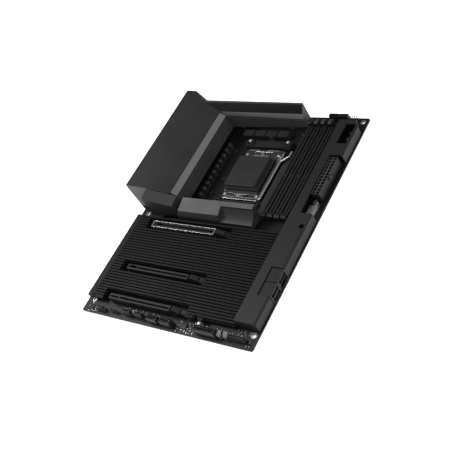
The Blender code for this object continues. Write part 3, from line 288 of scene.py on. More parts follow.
def solder_mask(name, colour, rough):
    # Black solder mask over copper: faint raised tracks at 45 degrees, about 2.8 mm apart, in patches.
    material, tree, shader, place = start_material(name, colour, rough, shine=0.25)
    patch = add(tree, "ShaderNodeTexVoronoi", {"Vector": place, "Scale": 1 / (14 * MM)})
    turned = add(tree, "ShaderNodeMapping", {"Vector": place, "Rotation": (0, 0, math.radians(45))})
    tracks = add(tree, "ShaderNodeTexWave", {"Vector": turned.outputs["Vector"], "Scale": 1 / (9 * MM),
                                             "Distortion": 0.0}, bands_direction="X")
    across = add(tree, "ShaderNodeTexWave", {"Vector": turned.outputs["Vector"], "Scale": 1 / (9 * MM)},
                 bands_direction="Y")
    pick = add(tree, "ShaderNodeSeparateColor", {"Color": patch.outputs["Color"]})
    choose = add(tree, "ShaderNodeMath", {0: pick.outputs["Red"], 1: 0.5}, operation="GREATER_THAN")
    both = add(tree, "ShaderNodeMix", {"Factor": choose.outputs["Value"]}, data_type="FLOAT")
    tree.links.new(tracks.outputs["Fac"], both.inputs[2])
    tree.links.new(across.outputs["Fac"], both.inputs[3])
    routed = add(tree, "ShaderNodeMath", {0: pick.outputs["Green"], 1: 0.45}, operation="GREATER_THAN")
    shown = add(tree, "ShaderNodeMath", {0: both.outputs[0], 1: routed.outputs["Value"]},
                operation="MULTIPLY")
    raised = tuple(level * 1.8 for level in colour)
    tone = ramp_between(tree, shown.outputs["Value"], (0.55, colour), (0.75, raised))
    tree.links.new(tone, shader.inputs["Base Color"])
    raise_by(tree, shader, shown.outputs["Value"], 0.03, 0.3)
    return material


def ceramic_chip(name, light, dark):
    # Fired ceramic capacitors and resistors: each little brick its own shade between two tones.
    material, tree, shader, place = start_material(name, light, 0.45)
    cell = add(tree, "ShaderNodeTexVoronoi", {"Vector": place, "Scale": 1 / (2.4 * MM)})
    pick = add(tree, "ShaderNodeSeparateColor", {"Color": cell.outputs["Color"]})
    tone = ramp_between(tree, pick.outputs["Red"], (0.0, dark), (0.62, light), "CONSTANT")
    tree.links.new(tone, shader.inputs["Base Color"])
    return material


def paper(name, colour):
    # Matt background paper; a glow of its own keeps it white under the soft lamps.
    material, tree, shader, place = start_material(name, colour, 0.9)
    grain_bump(tree, shader, place, 4.0, 0.02, 0.05)
    shader.inputs["Emission Color"].default_value = (1, 1, 1, 1)
    shader.inputs["Emission Strength"].default_value = 0.8
    return material


def finishes():
    """Every finish, made once and looked up by name afterwards."""
    chosen = bpy.context.scene.board_finishes
    grain = chosen.grain / MM
    recipes = {
        "powder_coat_black": lambda n: powder_coat(n, tuple(chosen.cover), grain, 0.46),
        "satin_black": lambda n: powder_coat(n, srgb("383839"), grain, 0.5),
        "satin_dark": lambda n: powder_coat(n, srgb("141415"), grain, 0.5),
        # a lighter coat that stands for the lamps' reflection on one facet: painted highlight
        "satin_edge": lambda n: powder_coat(n, srgb("5a5a5b"), grain, 0.4),
        "anodised_black": lambda n: anodised(n, tuple(chosen.ribs), 0.48),
        "solder_mask_black": lambda n: solder_mask(n, tuple(chosen.mask), 0.42),
        "nylon_black": lambda n: moulded(n, tuple(chosen.plastic), 0.5),
        "nylon_deep_black": lambda n: moulded(n, srgb("0d0d0e"), 0.55),
        "polycarbonate_grey": lambda n: moulded(n, tuple(chosen.cap), 0.42),
        # grey nylon of the buttons, also painted on black nylon tops as a painted highlight
        "nylon_grey": lambda n: moulded(n, tuple(chosen.latch), 0.45),
        "nickel_steel": lambda n: rolled_steel(n, srgb("d9d9da"), 0.24),
        "tinned_steel": lambda n: rolled_steel(n, srgb("a9a9ab"), 0.34),
        "gold_plate": lambda n: plated(n, srgb("6a5a3c"), 0.36),
        "tin_plate": lambda n: plated(n, srgb("cfd0d2"), 0.3),
        "aluminium_can": lambda n: plated(n, srgb("606164"), 0.42),
        "ceramic_chips": lambda n: ceramic_chip(n, srgb("8d7f6c"), srgb("1c1c1d")),
        "ferrite_grey": lambda n: moulded(n, srgb("161617"), 0.6),
        # darker steel painted on up-facing faces only: painted dark reflection
        "blackened_steel": lambda n: rolled_steel(n, srgb("58585b"), 0.36),
        "port_blue": lambda n: moulded(n, srgb("24405e"), 0.45),
    }
    for name, recipe in recipes.items():
        if name not in bpy.data.materials:
            recipe(name)
    return bpy.data.materials


# ---- pieces --------------------------------------------------------------------------------
def show(name, mesh, body, slot, smooth=40):
    """Put a finished mesh in the scene, riding on a body and taking a slot's finish."""
    mesh.name = name
    if smooth:
        mesh.shade_smooth()
        mesh.set_sharp_from_angle(angle=math.radians(smooth))
    piece = bpy.data.objects.new(name, mesh)
    bpy.context.scene.collection.objects.link(piece)
    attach(piece, body)
    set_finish(piece, slot)
    return piece


def body_of(node):
    return next(body for body, nodes in frame["record"]["behaviour"]["bodies"].items() if node in nodes)


def slot_of(node):
    return next(row["material_slot"] for row in frame["record"]["subparts"] if row["node"] == node)


def evaluated_mesh(holder):
    """The mesh a modified object makes, and the object gone."""
    bpy.context.view_layer.update()
    graph = bpy.context.evaluated_depsgraph_get()
    mesh = bpy.data.meshes.new_from_object(holder.evaluated_get(graph), depsgraph=graph)
    source = holder.data
    bpy.data.objects.remove(holder)
    bpy.data.meshes.remove(source)
    return mesh


def dressed(node, finish, width, segments=2):
    """A finer stand-in for a solid: its faces merged, its edges rounded, its shading even."""
    build = bmesh.new()
    build.from_mesh(frame["nodes"][node].data)
    bmesh.ops.remove_doubles(build, verts=build.verts, dist=0.002 * MM)
    bmesh.ops.dissolve_limit(build, angle_limit=math.radians(0.6), verts=build.verts, edges=build.edges)
    mesh = bpy.data.meshes.new(node + ".work")
    build.to_mesh(mesh)
    build.free()
    mesh.materials.clear()
    holder = bpy.data.objects.new(node + ".work", mesh)
    bpy.context.scene.collection.objects.link(holder)
    bevel = holder.modifiers.new("Edge", "BEVEL")
    bevel.width = width
    bevel.segments = segments
    bevel.limit_method = "ANGLE"
    bevel.angle_limit = math.radians(24)
    bevel.use_clamp_overlap = True
    mesh.shade_smooth()
    even = holder.modifiers.new("Even", "WEIGHTED_NORMAL")
    even.mode = "FACE_AREA"
    even.weight = 80
    made = evaluated_mesh(holder)
    made.materials.clear()
    made.materials.append(finishes()[finish])
    piece = show(node + "_dressed", made, body_of(node), slot_of(node), smooth=None)
    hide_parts(node)
    return piece


def paint(piece, finish, test):
    """Give another finish to the faces a test picks; it gets a centre in board mm and a normal."""
    mesh = piece.data
    mesh.materials.append(finishes()[finish])
    index = len(mesh.materials) - 1
    for face in mesh.polygons:
        centre = face.center
        x = (centre.x - PCB_LOW.x) / MM
        y = (PCB_HIGH.y - centre.y) / MM
        z = (centre.z - PCB_HIGH.z) / MM
        if test(x, y, z, face.normal):
            face.material_index = index


def long_facet_painted_highlight(x, y, z, normal):
    """The narrow facet between the port cover's roof and the fins, painted lighter as a painted highlight."""
    return 0.45 < normal.x < 0.75 and normal.z > 0.6 and abs(normal.y) < 0.2


def blocks_mesh(boxes, bevel=0.0):
    """One mesh of separate boxes given in board millimetres, with their edges rounded."""
    build = bmesh.new()
    for x0, x1, y0, y1, z0, z1 in boxes:
        low, high = at(x0, y1, z0), at(x1, y0, z1)
        size = high - low
        place = Matrix.Translation((low + high) / 2) @ Matrix.Diagonal((*size, 1))
        bmesh.ops.create_cube(build, size=1, matrix=place)
    if bevel:
        bmesh.ops.bevel(build, geom=build.edges, offset=bevel * MM, segments=2, profile=0.7,
                        affect="EDGES", clamp_overlap=True)
    mesh = bpy.data.meshes.new("blocks")
    build.to_mesh(mesh)
    build.free()
    return mesh


def blocks(name, boxes, finish, body=BOARD, slot="plastic", bevel=0.12):
    mesh = blocks_mesh(boxes, bevel)
    mesh.materials.append(finishes()[finish])
    return show(name, mesh, body, slot)


def lathe(name, profile, centre, finish, body=BOARD, slot="steel", sides=24):
    """A turned part: radius and height pairs in mm, spun about an upright axis at a board place."""
    build = bmesh.new()
    place = Matrix.Translation(at(*centre))
    rings = []
    for radius, height in profile:
        if radius <= 0:
            rings.append([build.verts.new(place @ Vector((0, 0, height * MM)))])
            continue
        rings.append([build.verts.new(place @ Vector((radius * MM * math.cos(2 * math.pi * i / sides),
                                                      radius * MM * math.sin(2 * math.pi * i / sides),
                                                      height * MM))) for i in range(sides)])
    for below, above in zip(rings, rings[1:]):
        for i in range(sides):
            j = (i + 1) % sides
            if len(below) == 1:
                build.faces.new([below[0], above[j], above[i]])
            elif len(above) == 1:
                build.faces.new([below[i], below[j], above[0]])
            else:
                build.faces.new([below[i], below[j], above[j], above[i]])
    bmesh.ops.recalc_face_normals(build, faces=build.faces)
    mesh = bpy.data.meshes.new(name)
    build.to_mesh(mesh)
    build.free()
    mesh.materials.append(finishes()[finish])
    return show(name, mesh, body, slot)


# ---- repeated parts --------------------------------------------------------------------------
def start_tree(name, sockets):
    """A geometry tree with its named inputs; returns it, its input node and its output node."""
    tree = bpy.data.node_groups.get(name)
    if tree:
        return tree, None, None
    tree = bpy.data.node_groups.new(name, "GeometryNodeTree")
    tree.interface.new_socket("Geometry", in_out="INPUT", socket_type="NodeSocketGeometry")
    for label, kind in sockets:
        tree.interface.new_socket(label, in_out="INPUT", socket_type="NodeSocket" + kind)
    tree.interface.new_socket("Geometry", in_out="OUTPUT", socket_type="NodeSocketGeometry")
    return tree, add(tree, "NodeGroupInput"), add(tree, "NodeGroupOutput")


def end_tree(tree, out, geometry, material):
    whole = add(tree, "GeometryNodeRealizeInstances", {"Geometry": geometry})
    set_it = add(tree, "GeometryNodeSetMaterial", {"Geometry": whole.outputs[0], "Material": material})
    tree.links.new(set_it.outputs[0], out.inputs[0])
    return tree


def stud_tree():
    """Round heads on points: a drum with a narrowed rim and a sunk middle."""
    tree, given, out = start_tree("Studs", (("Radius", "Float"), ("Height", "Float"), ("Rim", "Float"),
                                            ("Sunk", "Float"), ("Depth", "Float"), ("Sides", "Int"),
                                            ("Turn", "Vector"), ("Finish", "Material")))
    if not given:
        return tree
    g = given.outputs
    drum = add(tree, "GeometryNodeMeshCylinder", {"Vertices": g["Sides"], "Radius": g["Radius"],
                                                  "Depth": g["Height"]})
    half = add(tree, "ShaderNodeMath", {0: g["Height"], 1: 0.5}, operation="MULTIPLY")
    lift = add(tree, "ShaderNodeCombineXYZ", {"Z": half.outputs[0]})
    rim = add(tree, "GeometryNodeScaleElements", {"Geometry": drum.outputs["Mesh"],
                                                  "Selection": drum.outputs["Top"], "Scale": g["Rim"]})
    inner = add(tree, "GeometryNodeExtrudeMesh", {"Mesh": rim.outputs[0], "Selection": drum.outputs["Top"],
                                                  "Offset Scale": 0.0})
    narrow = add(tree, "GeometryNodeScaleElements", {"Geometry": inner.outputs["Mesh"],
                                                     "Selection": inner.outputs["Top"], "Scale": g["Sunk"]})
    down = add(tree, "ShaderNodeMath", {0: g["Depth"], 1: -1.0}, operation="MULTIPLY")
    sink = add(tree, "GeometryNodeExtrudeMesh", {"Mesh": narrow.outputs[0], "Selection": inner.outputs["Top"],
                                                 "Offset Scale": down.outputs[0]})
    raised = add(tree, "GeometryNodeTransform", {"Geometry": sink.outputs["Mesh"],
                                                 "Translation": lift.outputs[0]})
    spread = add(tree, "GeometryNodeInstanceOnPoints",
                 {"Points": g["Geometry"], "Instance": raised.outputs[0], "Rotation": g["Turn"]})
    return end_tree(tree, out, spread.outputs[0], g["Finish"])


def ring_tree():
    """Flat rings on points: a rectangle swept round a circle."""
    tree, given, out = start_tree("Rings", (("Radius", "Float"), ("Width", "Float"), ("Thick", "Float"),
                                            ("Turn", "Vector"), ("Finish", "Material")))
    if not given:
        return tree
    g = given.outputs
    path = add(tree, "GeometryNodeCurvePrimitiveCircle", {"Resolution": 28, "Radius": g["Radius"]})
    section = add(tree, "GeometryNodeCurvePrimitiveQuadrilateral",
                  {"Width": g["Width"], "Height": g["Thick"]})
    swept = add(tree, "GeometryNodeCurveToMesh", {"Curve": path.outputs[0],
                                                  "Profile Curve": section.outputs[0]})
    spread = add(tree, "GeometryNodeInstanceOnPoints",
                 {"Points": g["Geometry"], "Instance": swept.outputs[0], "Rotation": g["Turn"]})
    return end_tree(tree, out, spread.outputs[0], g["Finish"])


def grid_tree():
    """Small bricks in rows and columns."""
    tree, given, out = start_tree("Grid", (("Start", "Vector"), ("Along", "Vector"), ("Count", "Int"),
                                           ("Across", "Vector"), ("Rows", "Int"), ("Size", "Vector"),
                                           ("Finish", "Material")))
    if not given:
        return tree
    g = given.outputs
    row = add(tree, "GeometryNodeMeshLine", {"Count": g["Count"], "Start Location": g["Start"],
                                             "Offset": g["Along"]})
    column = add(tree, "GeometryNodeMeshLine", {"Count": g["Rows"], "Offset": g["Across"]})
    spread = add(tree, "GeometryNodeInstanceOnPoints",
                 {"Points": row.outputs[0], "Instance": column.outputs[0]})
    points = add(tree, "GeometryNodeRealizeInstances", {"Geometry": spread.outputs[0]})
    brick = add(tree, "GeometryNodeMeshCube", {"Size": g["Size"]})
    bricks = add(tree, "GeometryNodeInstanceOnPoints", {"Points": points.outputs[0],
                                                        "Instance": brick.outputs["Mesh"]})
    return end_tree(tree, out, bricks.outputs[0], g["Finish"])


def scatter_tree(ends):
    """Little surface parts strewn over patches, square to the board; their bodies or their ends."""
    tree, given, out = start_tree("Chip ends" if ends else "Chip bodies",
                                  (("Spacing", "Float"), ("Seed", "Int"), ("Smallest", "Vector"),
                                   ("Largest", "Vector"), ("Finish", "Material")))
    if not given:
        return tree
    g = given.outputs
    strewn = add(tree, "GeometryNodeDistributePointsOnFaces",
                 {"Mesh": g["Geometry"], "Distance Min": g["Spacing"], "Density Max": 400000.0,
                  "Seed": g["Seed"]}, distribute_method="POISSON")
    if ends:
        cubes = [add(tree, "GeometryNodeMeshCube", {"Size": (0.24, 1.06, 1.06)}) for _ in (0, 1)]
        ways = [add(tree, "GeometryNodeTransform", {"Geometry": cube.outputs[0], "Translation": (x, 0, 0.5)})
                for cube, x in zip(cubes, (-0.46, 0.46))]
        whole = add(tree, "GeometryNodeJoinGeometry")
        for way in ways:
            tree.links.new(way.outputs[0], whole.inputs[0])
    else:
        cube = add(tree, "GeometryNodeMeshCube", {"Size": (0.8, 1, 1)})
        whole = add(tree, "GeometryNodeTransform", {"Geometry": cube.outputs[0], "Translation": (0, 0, 0.5)})
    size = add(tree, "FunctionNodeRandomValue",
               {"Min": g["Smallest"], "Max": g["Largest"], "Seed": g["Seed"]}, data_type="FLOAT_VECTOR")
    quarter = add(tree, "FunctionNodeRandomValue", {"Seed": g["Seed"]}, data_type="INT")
    quarter.inputs[4].default_value = 0
    quarter.inputs[5].default_value = 1
    angle = add(tree, "ShaderNodeMath", {0: quarter.outputs[2], 1: math.pi / 2}, operation="MULTIPLY")
    turn = add(tree, "ShaderNodeCombineXYZ", {"Z": angle.outputs[0]})
    placed = add(tree, "GeometryNodeInstanceOnPoints", {"Points": strewn.outputs["Points"],
                                                        "Instance": whole.outputs[0],
                                                        "Rotation": turn.outputs[0],
                                                        "Scale": size.outputs[0]})
    return end_tree(tree, out, placed.outputs[0], g["Finish"])


def grow(name, tree, values, points=(), faces=(), body=BOARD, slot="steel", smooth=40):
    """Run a tree on some places and keep what it makes as a plain mesh."""
    seed = bpy.data.meshes.new(name + ".seed")
    seed.from_pydata([tuple(point) for point in points], [], [list(face) for face in faces])
    holder = bpy.data.objects.new(name + ".seed", seed)
    bpy.context.scene.collection.objects.link(holder)
    modifier = holder.modifiers.new("Grow", "NODES")
    modifier.node_group = tree
    for item in tree.interface.items_tree:
        if item.item_type == "SOCKET" and item.in_out == "INPUT" and item.name in values:
            value = values[item.name]
            if item.name == "Finish":
                value = finishes()[value]
            modifier[item.identifier] = value
    mesh = evaluated_mesh(holder)
    return show(name, mesh, body, slot, smooth)


def studs(name, places, finish, radius, height, rim=0.86, sunk=0.5, depth=0.3, sides=18, turn=(0, 0, 0),
          body=BOARD, slot="steel"):
    return grow(name, stud_tree(), {"Radius": radius * MM, "Height": height * MM, "Rim": rim, "Sunk": sunk,
                                    "Depth": depth * MM, "Sides": sides, "Turn": turn, "Finish": finish},
                [at(*place) for place in places], body=body, slot=slot)


def rings(name, places, finish, radius, width, thick, turn=(0, 0, 0), body=BOARD, slot="steel"):
    return grow(name, ring_tree(), {"Radius": radius * MM, "Width": width * MM, "Thick": thick * MM,
                                    "Turn": turn, "Finish": finish},
                [at(*place) for place in places], body=body, slot=slot)


def grid(name, start, along, count, across, rows, size, finish, body=BOARD, slot="steel"):
    """Bricks from a board place; the steps and the size are board millimetres."""
    return grow(name, grid_tree(), {
        "Start": tuple(at(*start)), "Along": (along[0] * MM, -along[1] * MM, along[2] * MM), "Count": count,
        "Across": (across[0] * MM, -across[1] * MM, across[2] * MM), "Rows": rows,
        "Size": tuple(side * MM for side in size), "Finish": finish}, body=body, slot=slot, smooth=None)


def merge(name, pieces):
    """Join like pieces of one body into one object."""
    first = pieces[0]
    slot = first["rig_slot"]
    body = first["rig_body"]
    build = bmesh.new()
    materials = []
    for piece in pieces:
        start = len(build.faces)
        build.from_mesh(piece.data)
        build.faces.ensure_lookup_table()
        index = [materials.index(m) if m in materials else materials.append(m) or len(materials) - 1
                 for m in piece.data.materials]
        for face in build.faces[start:]:
            face.material_index = index[face.material_index] if index else 0
    mesh = bpy.data.meshes.new(name)
    build.to_mesh(mesh)
    build.free()
    for material in materials:
        mesh.materials.append(material)
    for piece in pieces:
        old = piece.data
        bpy.data.objects.remove(piece)
        bpy.data.meshes.remove(old)
    return show(name, mesh, body, slot)


def patch(x0, x1, y0, y1, z=0.0):
    """Corners of a flat patch on the board, facing up."""
    return [at(x0, y1, z), at(x1, y1, z), at(x1, y0, z), at(x0, y0, z)]


# ---- operators -----------------------------------------------------------------------------
class BOARD_OT_stage(bpy.types.Operator):
    """Paper floor, soft lamps and the camera"""
    bl_idname = "board.stage"
    bl_label = "Studio"

    def execute(self, context):
        studio = context.scene.board_studio
        mesh = bpy.data.meshes.new("paper_floor")
        half = FLOOR_HALF
        drop = CAD_LOW.z - FLOOR_GAP
        mesh.from_pydata([(-half, -half, drop), (half, -half, drop), (half, half, drop), (-half, half, drop)],
                         [], [(0, 1, 2, 3)])
        mesh.materials.append(paper("background_paper", tuple(studio.floor)))
        floor = bpy.data.objects.new("paper_floor", mesh)
        context.scene.collection.objects.link(floor)

        world = bpy.data.worlds.new("Studio")
        world.use_nodes = True
        ground = world.node_tree.nodes["Background"]
        ground.inputs["Color"].default_value = (1, 1, 1, 1)
        ground.inputs["Strength"].default_value = studio.sky
        context.scene.world = world

        for name, way, size, power in (
                ("Key", Vector((-0.66, -0.04, 0.75)), 0.6, studio.key),
                ("Fill", Vector((0.34, 0.51, 0.79)), 0.6, studio.fill),
                ("Front", Vector((0.78, -0.38, 0.50)), 1.0, studio.front),
                ("Overhead", Vector((0.0, -0.35, 0.94)), 0.5, studio.over)):
            lamp = bpy.data.lights.new(name, "AREA")
            lamp.shape = "DISK"
            lamp.size = size
            lamp.energy = power
            holder = bpy.data.objects.new(name, lamp)
            holder.location = LAMP_AIM + way.normalized() * LAMP_REACH
            holder.rotation_euler = way.to_track_quat("Z", "Y").to_euler()
            context.scene.collection.objects.link(holder)

        camera = bpy.data.cameras.new("Camera")
        camera.lens = studio.lens
        camera.sensor_width = 36
        holder = bpy.data.objects.new("Camera", camera)
        turn = Matrix((CAMERA_RIGHT, CAMERA_UP, CAMERA_BACK)).transposed().to_4x4()
        holder.matrix_world = Matrix.Translation(CAMERA_PLACE) @ turn
        context.scene.collection.objects.link(holder)
        context.scene.camera = holder
        context.scene.view_settings.view_transform = "Standard"
        return {"FINISHED"}


class BOARD_OT_circuit_board(bpy.types.Operator):
    """Solder mask, ringed mounting holes, edge vias and strewn surface parts"""
    bl_idname = "board.circuit_board"
    bl_label = "Circuit board"

    def execute(self, context):
        parts = context.scene.board_parts
        pcb = frame["nodes"]["pcb"]
        pcb.data.materials.clear()
        pcb.data.materials.append(finishes()["solder_mask_black"])
        _, x1, _, y1, _, _ = span("pcb")
        holes = [(33.02, 6.35), (165.1, 6.35), (x1 - 6.35, 6.35), (10.16, 163.83), (x1 - 6.35, 163.83),
                 (10.16, y1 - 16.71), (165.1, y1 - 16.71), (x1 - 6.35, y1 - 16.71)]
        rings("hole_rings", [(x, y, 0.03) for x, y in holes], "tin_plate", 2.75, 0.9, 0.06)
        rings("hole_rings_under", [(x, y, -1.63) for x, y in holes], "tin_plate", 3.1, 1.6, 0.06)
        dots = [(x, y, 0.0) for x in (2.2, x1 - 1.0) for y in range(10, int(y1) - 6, 6)]
        dots += [(x, y1 - 1.6, 0.0) for x in range(8, int(x1) - 6, 5)]
        studs("edge_vias", dots, "aluminium_can", 0.34, 0.06, 0.9, 0.4, 0.02, 8)
        patches = [(166, 172, 26, 42), (8, 22, 293, 303.4), (60, 120, 290, 293.2), (142, 168, 291, 303.2),
                   (170, 215, 290, 293.6), (198, 230, 8.2, 12), (216, 240, 286, 292), (234, 241, 296, 302)]
        points, faces = [], []
        for place in patches:
            faces.append(range(len(points), len(points) + 4))
            points += patch(*place)
        values = {"Spacing": parts.chip_pitch, "Seed": parts.seed,
                  "Smallest": (0.9 * MM, 0.5 * MM, 0.35 * MM), "Largest": (1.9 * MM, 1.0 * MM, 0.8 * MM)}
        grow("chip_bodies", scatter_tree(False), {**values, "Finish": "ceramic_chips"}, points, faces,
             slot="plastic", smooth=None)
        grow("chip_ends", scatter_tree(True), {**values, "Finish": "tin_plate"}, points, faces, smooth=None)
        can = [(0, 0.05), (3.4, 0.05), (3.4, 0.9), (3.0, 1.2), (3.2, 1.6), (3.2, 6.2), (2.9, 6.7), (0, 6.6)]
        cans = [(x1 - 42.6, y1 - 8.0, 0), (x1 - 34.6, y1 - 8.2, 0), (x1 - 10.0, 127.2, 0)]
        for index, place in enumerate(cans):
            lathe(f"electrolytic_can_{index + 1}", can, place, "aluminium_can")
        blocks("display_chip", [(x1 - 15.0, x1 - 9.6, 137.8, 139.2, 0.1, 0.9)], "ceramic_chips")
        chips = [(148, 155, 292, 299), (84, 89, 56, 62), (84, 88, 120, 126), (90, 96, 98, 104),
                 (202, 208, 8.6, 12.2), (10, 16, 294, 301)]
        blocks("control_chips", [(a, b, c, d, 0.1, 1.3) for a, b, c, d in chips], "nylon_black")
        return {"FINISHED"}


class BOARD_OT_port_cover(bpy.types.Operator):
    """The powder-coated cover over the rear ports"""
    bl_idname = "board.port_cover"
    bl_label = "Port cover"

    def execute(self, context):
        # The narrow long facet is painted a lighter coat, a painted highlight.
        paint(dressed("io_cover", "powder_coat_black", 0.4 * MM), "satin_edge", long_facet_painted_highlight)
        return {"FINISHED"}


class BOARD_OT_heatsinks(bpy.types.Operator):
    """The two finned heatsinks"""
    bl_idname = "board.heatsinks"
    bl_label = "Heatsinks"

    def execute(self, context):
        rear = dressed("vrm_heatsink_rear", "satin_black", 0.3 * MM)
        top = dressed("vrm_heatsink_top", "satin_black", 0.3 * MM)

        # the lower lip of the top heatsink is painted lighter: painted highlight
        def top_edge_painted_highlight(x, y, z, normal):
            return z > 19 and y > 17 and normal.y < -0.55 and 0.1 < normal.z < 0.6

        # the sloped upper face of the top heatsink is painted darker: painted shade
        def top_slope_painted_shade(x, y, z, normal):
            return y < 24.5 and normal.y < -0.4 and normal.z > 0.3 and not top_edge_painted_highlight(x, y, z, normal)
        # The long facet of the rear heatsink takes the lighter coat as a painted highlight.
        paint(rear, "satin_edge", long_facet_painted_highlight)
        paint(top, "satin_edge", top_edge_painted_highlight)
        paint(top, "anodised_black", top_slope_painted_shade)
        return {"FINISHED"}


class BOARD_OT_drive_covers(bpy.types.Operator):
    """Ribbed covers over the drives and the sloped cover above them"""
    bl_idname = "board.drive_covers"
    bl_label = "Drive covers"

    def execute(self, context):
        for node in ("m2_cover_upper", "m2_cover_middle", "m2_cover_lower"):
            dressed(node, "anodised_black", 0.22 * MM)
        dressed("m2_cover_centre", "powder_coat_black", 0.4 * MM)
        return {"FINISHED"}


class BOARD_OT_edge_cover(bpy.types.Operator):
    """The cover along the memory edge and the small side plate"""
    bl_idname = "board.edge_cover"
    bl_label = "Edge cover"

    def execute(self, context):
        strip = dressed("edge_strip", "satin_dark", 0.4 * MM)

        def outer_wall_painted_shade(x, y, z, normal):
            return normal.x > 0.3
        # The outer wall is painted deeper black as painted shade.
        paint(strip, "nylon_deep_black", outer_wall_painted_shade)
        dressed("side_plate", "powder_coat_black", 0.25 * MM)
        return {"FINISHED"}


class BOARD_OT_socket(bpy.types.Operator):
    """Processor socket: contact field, frame, load plate, cap, lever, brackets and screws"""
    bl_idname = "board.socket"
    bl_label = "Processor socket"

    def execute(self, context):
        dressed("socket_body", "nylon_deep_black", 0.2 * MM)

        def faces_up(x, y, z, normal):
            return normal.z > 0.95
        for node in ("socket_frame", "load_plate"):
            # Up-facing faces of the frame and load plate are painted darker steel, a painted dark reflection.
            paint(dressed(node, "nickel_steel", 0.45 * MM), "blackened_steel", faces_up)
        cap = dressed("socket_cap", "polycarbonate_grey", 0.5 * MM, 3)

        def is_skirt(x, y, z, normal):
            return z < 9.6
        paint(cap, "nylon_deep_black", is_skirt)
        lever = frame["nodes"]["socket_lever"]
        lever.data.materials.clear()
        lever.data.materials.append(finishes()["nickel_steel"])
        for node in ("cooler_bracket_top", "cooler_bracket_bottom"):
            dressed(node, "nylon_black", 0.3 * MM)
        x0, _, y0, _, _, top = span("socket_body")
        grid("socket_contacts", (x0 + 3.2, y0 + 3.2, top - 1.5), (1.02, 0, 0), 33, (0, 1.02, 0), 33,
             (0.5, 0.34, 0.12), "gold_plate")
        fx0, fx1, fy0, fy1, _, ftop = span("socket_frame")
        corners = [(x, y, ftop) for x in (fx0 + 4.4, fx1 - 4.4) for y in (fy0 + 9.0, fy1 - 5.0)]
        lips = [(fx1 - 1.3, fx1 - 0.3, fy0 + 4, fy1 - 3), (fx1 - 3.6, fx1 - 2.9, fy0 + 12, fy1 - 12),
                (fx0 + 0.3, fx0 + 1.1, fy1 - 34, fy1 - 9), (fx0 + 3, fx0 + 18, fy0 + 0.3, fy0 + 1.3),
                (fx0 + 30, fx1 - 8, fy0 + 0.3, fy0 + 1.3), (fx0 + 4, fx1 - 6, fy1 - 1.2, fy1 - 0.3)]
        blocks("frame_lips", [(*lip, ftop - 0.2, ftop + 0.55) for lip in lips], "nickel_steel", slot="steel",
               bevel=0.2)
        px0, px1, py0, py1, _, ptop = span("load_plate")
        middle = (px0 + px1) / 2
        folds = [(middle - 12.0, middle + 9.0, py0 + 7.2, py0 + 8.6, ptop - 0.2, ptop + 0.25),
                 (middle - 1.2, middle + 1.2, py0 + 1.0, py0 + 7.4, ptop - 0.2, ptop + 0.25),
                 (middle - 15.0, middle + 14.0, py1 - 9.8, py1 - 8.6, ptop - 0.2, ptop + 0.25),
                 (middle - 8.0, middle + 8.0, py1 - 3.4, py1 - 1.8, ptop - 0.2, ptop + 0.25)]
        blocks("plate_folds", folds, "nickel_steel", body="load_plate", slot="steel", bevel=0.1)
        studs("frame_screws", corners, "nickel_steel", 2.5, 1.5, 0.84, 0.5, 0.9)
        bolts = []
        for node in ("cooler_bracket_top", "cooler_bracket_bottom"):
            bx0, bx1, by0, by1, _, _ = span(node)
            middle = (bx0 + bx1) / 2
            bolts += [(middle + side * 27.0, (by0 + by1) / 2, 5.9) for side in (-1, 1)]
        studs("cooler_screws", bolts, "nickel_steel", 2.7, 2.6, 0.85, 0.55, 1.0)
        return {"FINISHED"}


class BOARD_OT_memory(bpy.types.Operator):
    """Four memory slots with their contacts and latches"""
    bl_idname = "board.memory"
    bl_label = "Memory slots"

    def execute(self, context):
        contacts = []
        for index in range(1, 5):
            slot = dressed(f"dimm_slot_{index}", "nylon_black", 0.25 * MM)
            x0, x1, _, foot, _, _ = span(f"dimm_slot_{index}")
            middle = (x0 + x1) / 2

            def at_foot(x, y, z, normal, foot=foot):
                return y > foot - 2.4 and z > 6
            paint(slot, "nylon_grey", at_foot)
            dressed(f"dimm_latch_{index}", "nylon_black", 0.3 * MM)
            contacts.append(grid(f"memory_contacts_{index}", (middle - 0.72, 25.0, 4.6), (0, 0.85, 0), 80,
                                 (1.44, 0, 0), 2, (0.12, 0.45, 3.2), "gold_plate"))
        merge("memory_contacts", contacts)
        return {"FINISHED"}


class BOARD_OT_card_slots(bpy.types.Operator):
    """Three card slots, the first with a steel sleeve"""
    bl_idname = "board.card_slots"
    bl_label = "Card slots"

    def execute(self, context):
        contacts = []
        for index in range(1, 4):
            dressed(f"pcie_slot_{index}", "nylon_black", 0.25 * MM)
            dressed(f"pcie_latch_{index}", "nylon_black", 0.3 * MM)
            x0, _, y0, y1, _, top = span(f"pcie_slot_{index}")
            middle = (y0 + y1) / 2
            contacts.append(grid(f"card_contacts_{index}", (x0 + 3.0, middle - 0.9, top - 3.6),
                                 (1.0, 0, 0), 86, (0, 1.8, 0), 2, (0.5, 0.12, 4.6), "gold_plate"))
        merge("card_contacts", contacts)
        dressed("pcie_armour_1", "nickel_steel", 0.15 * MM)
        return {"FINISHED"}


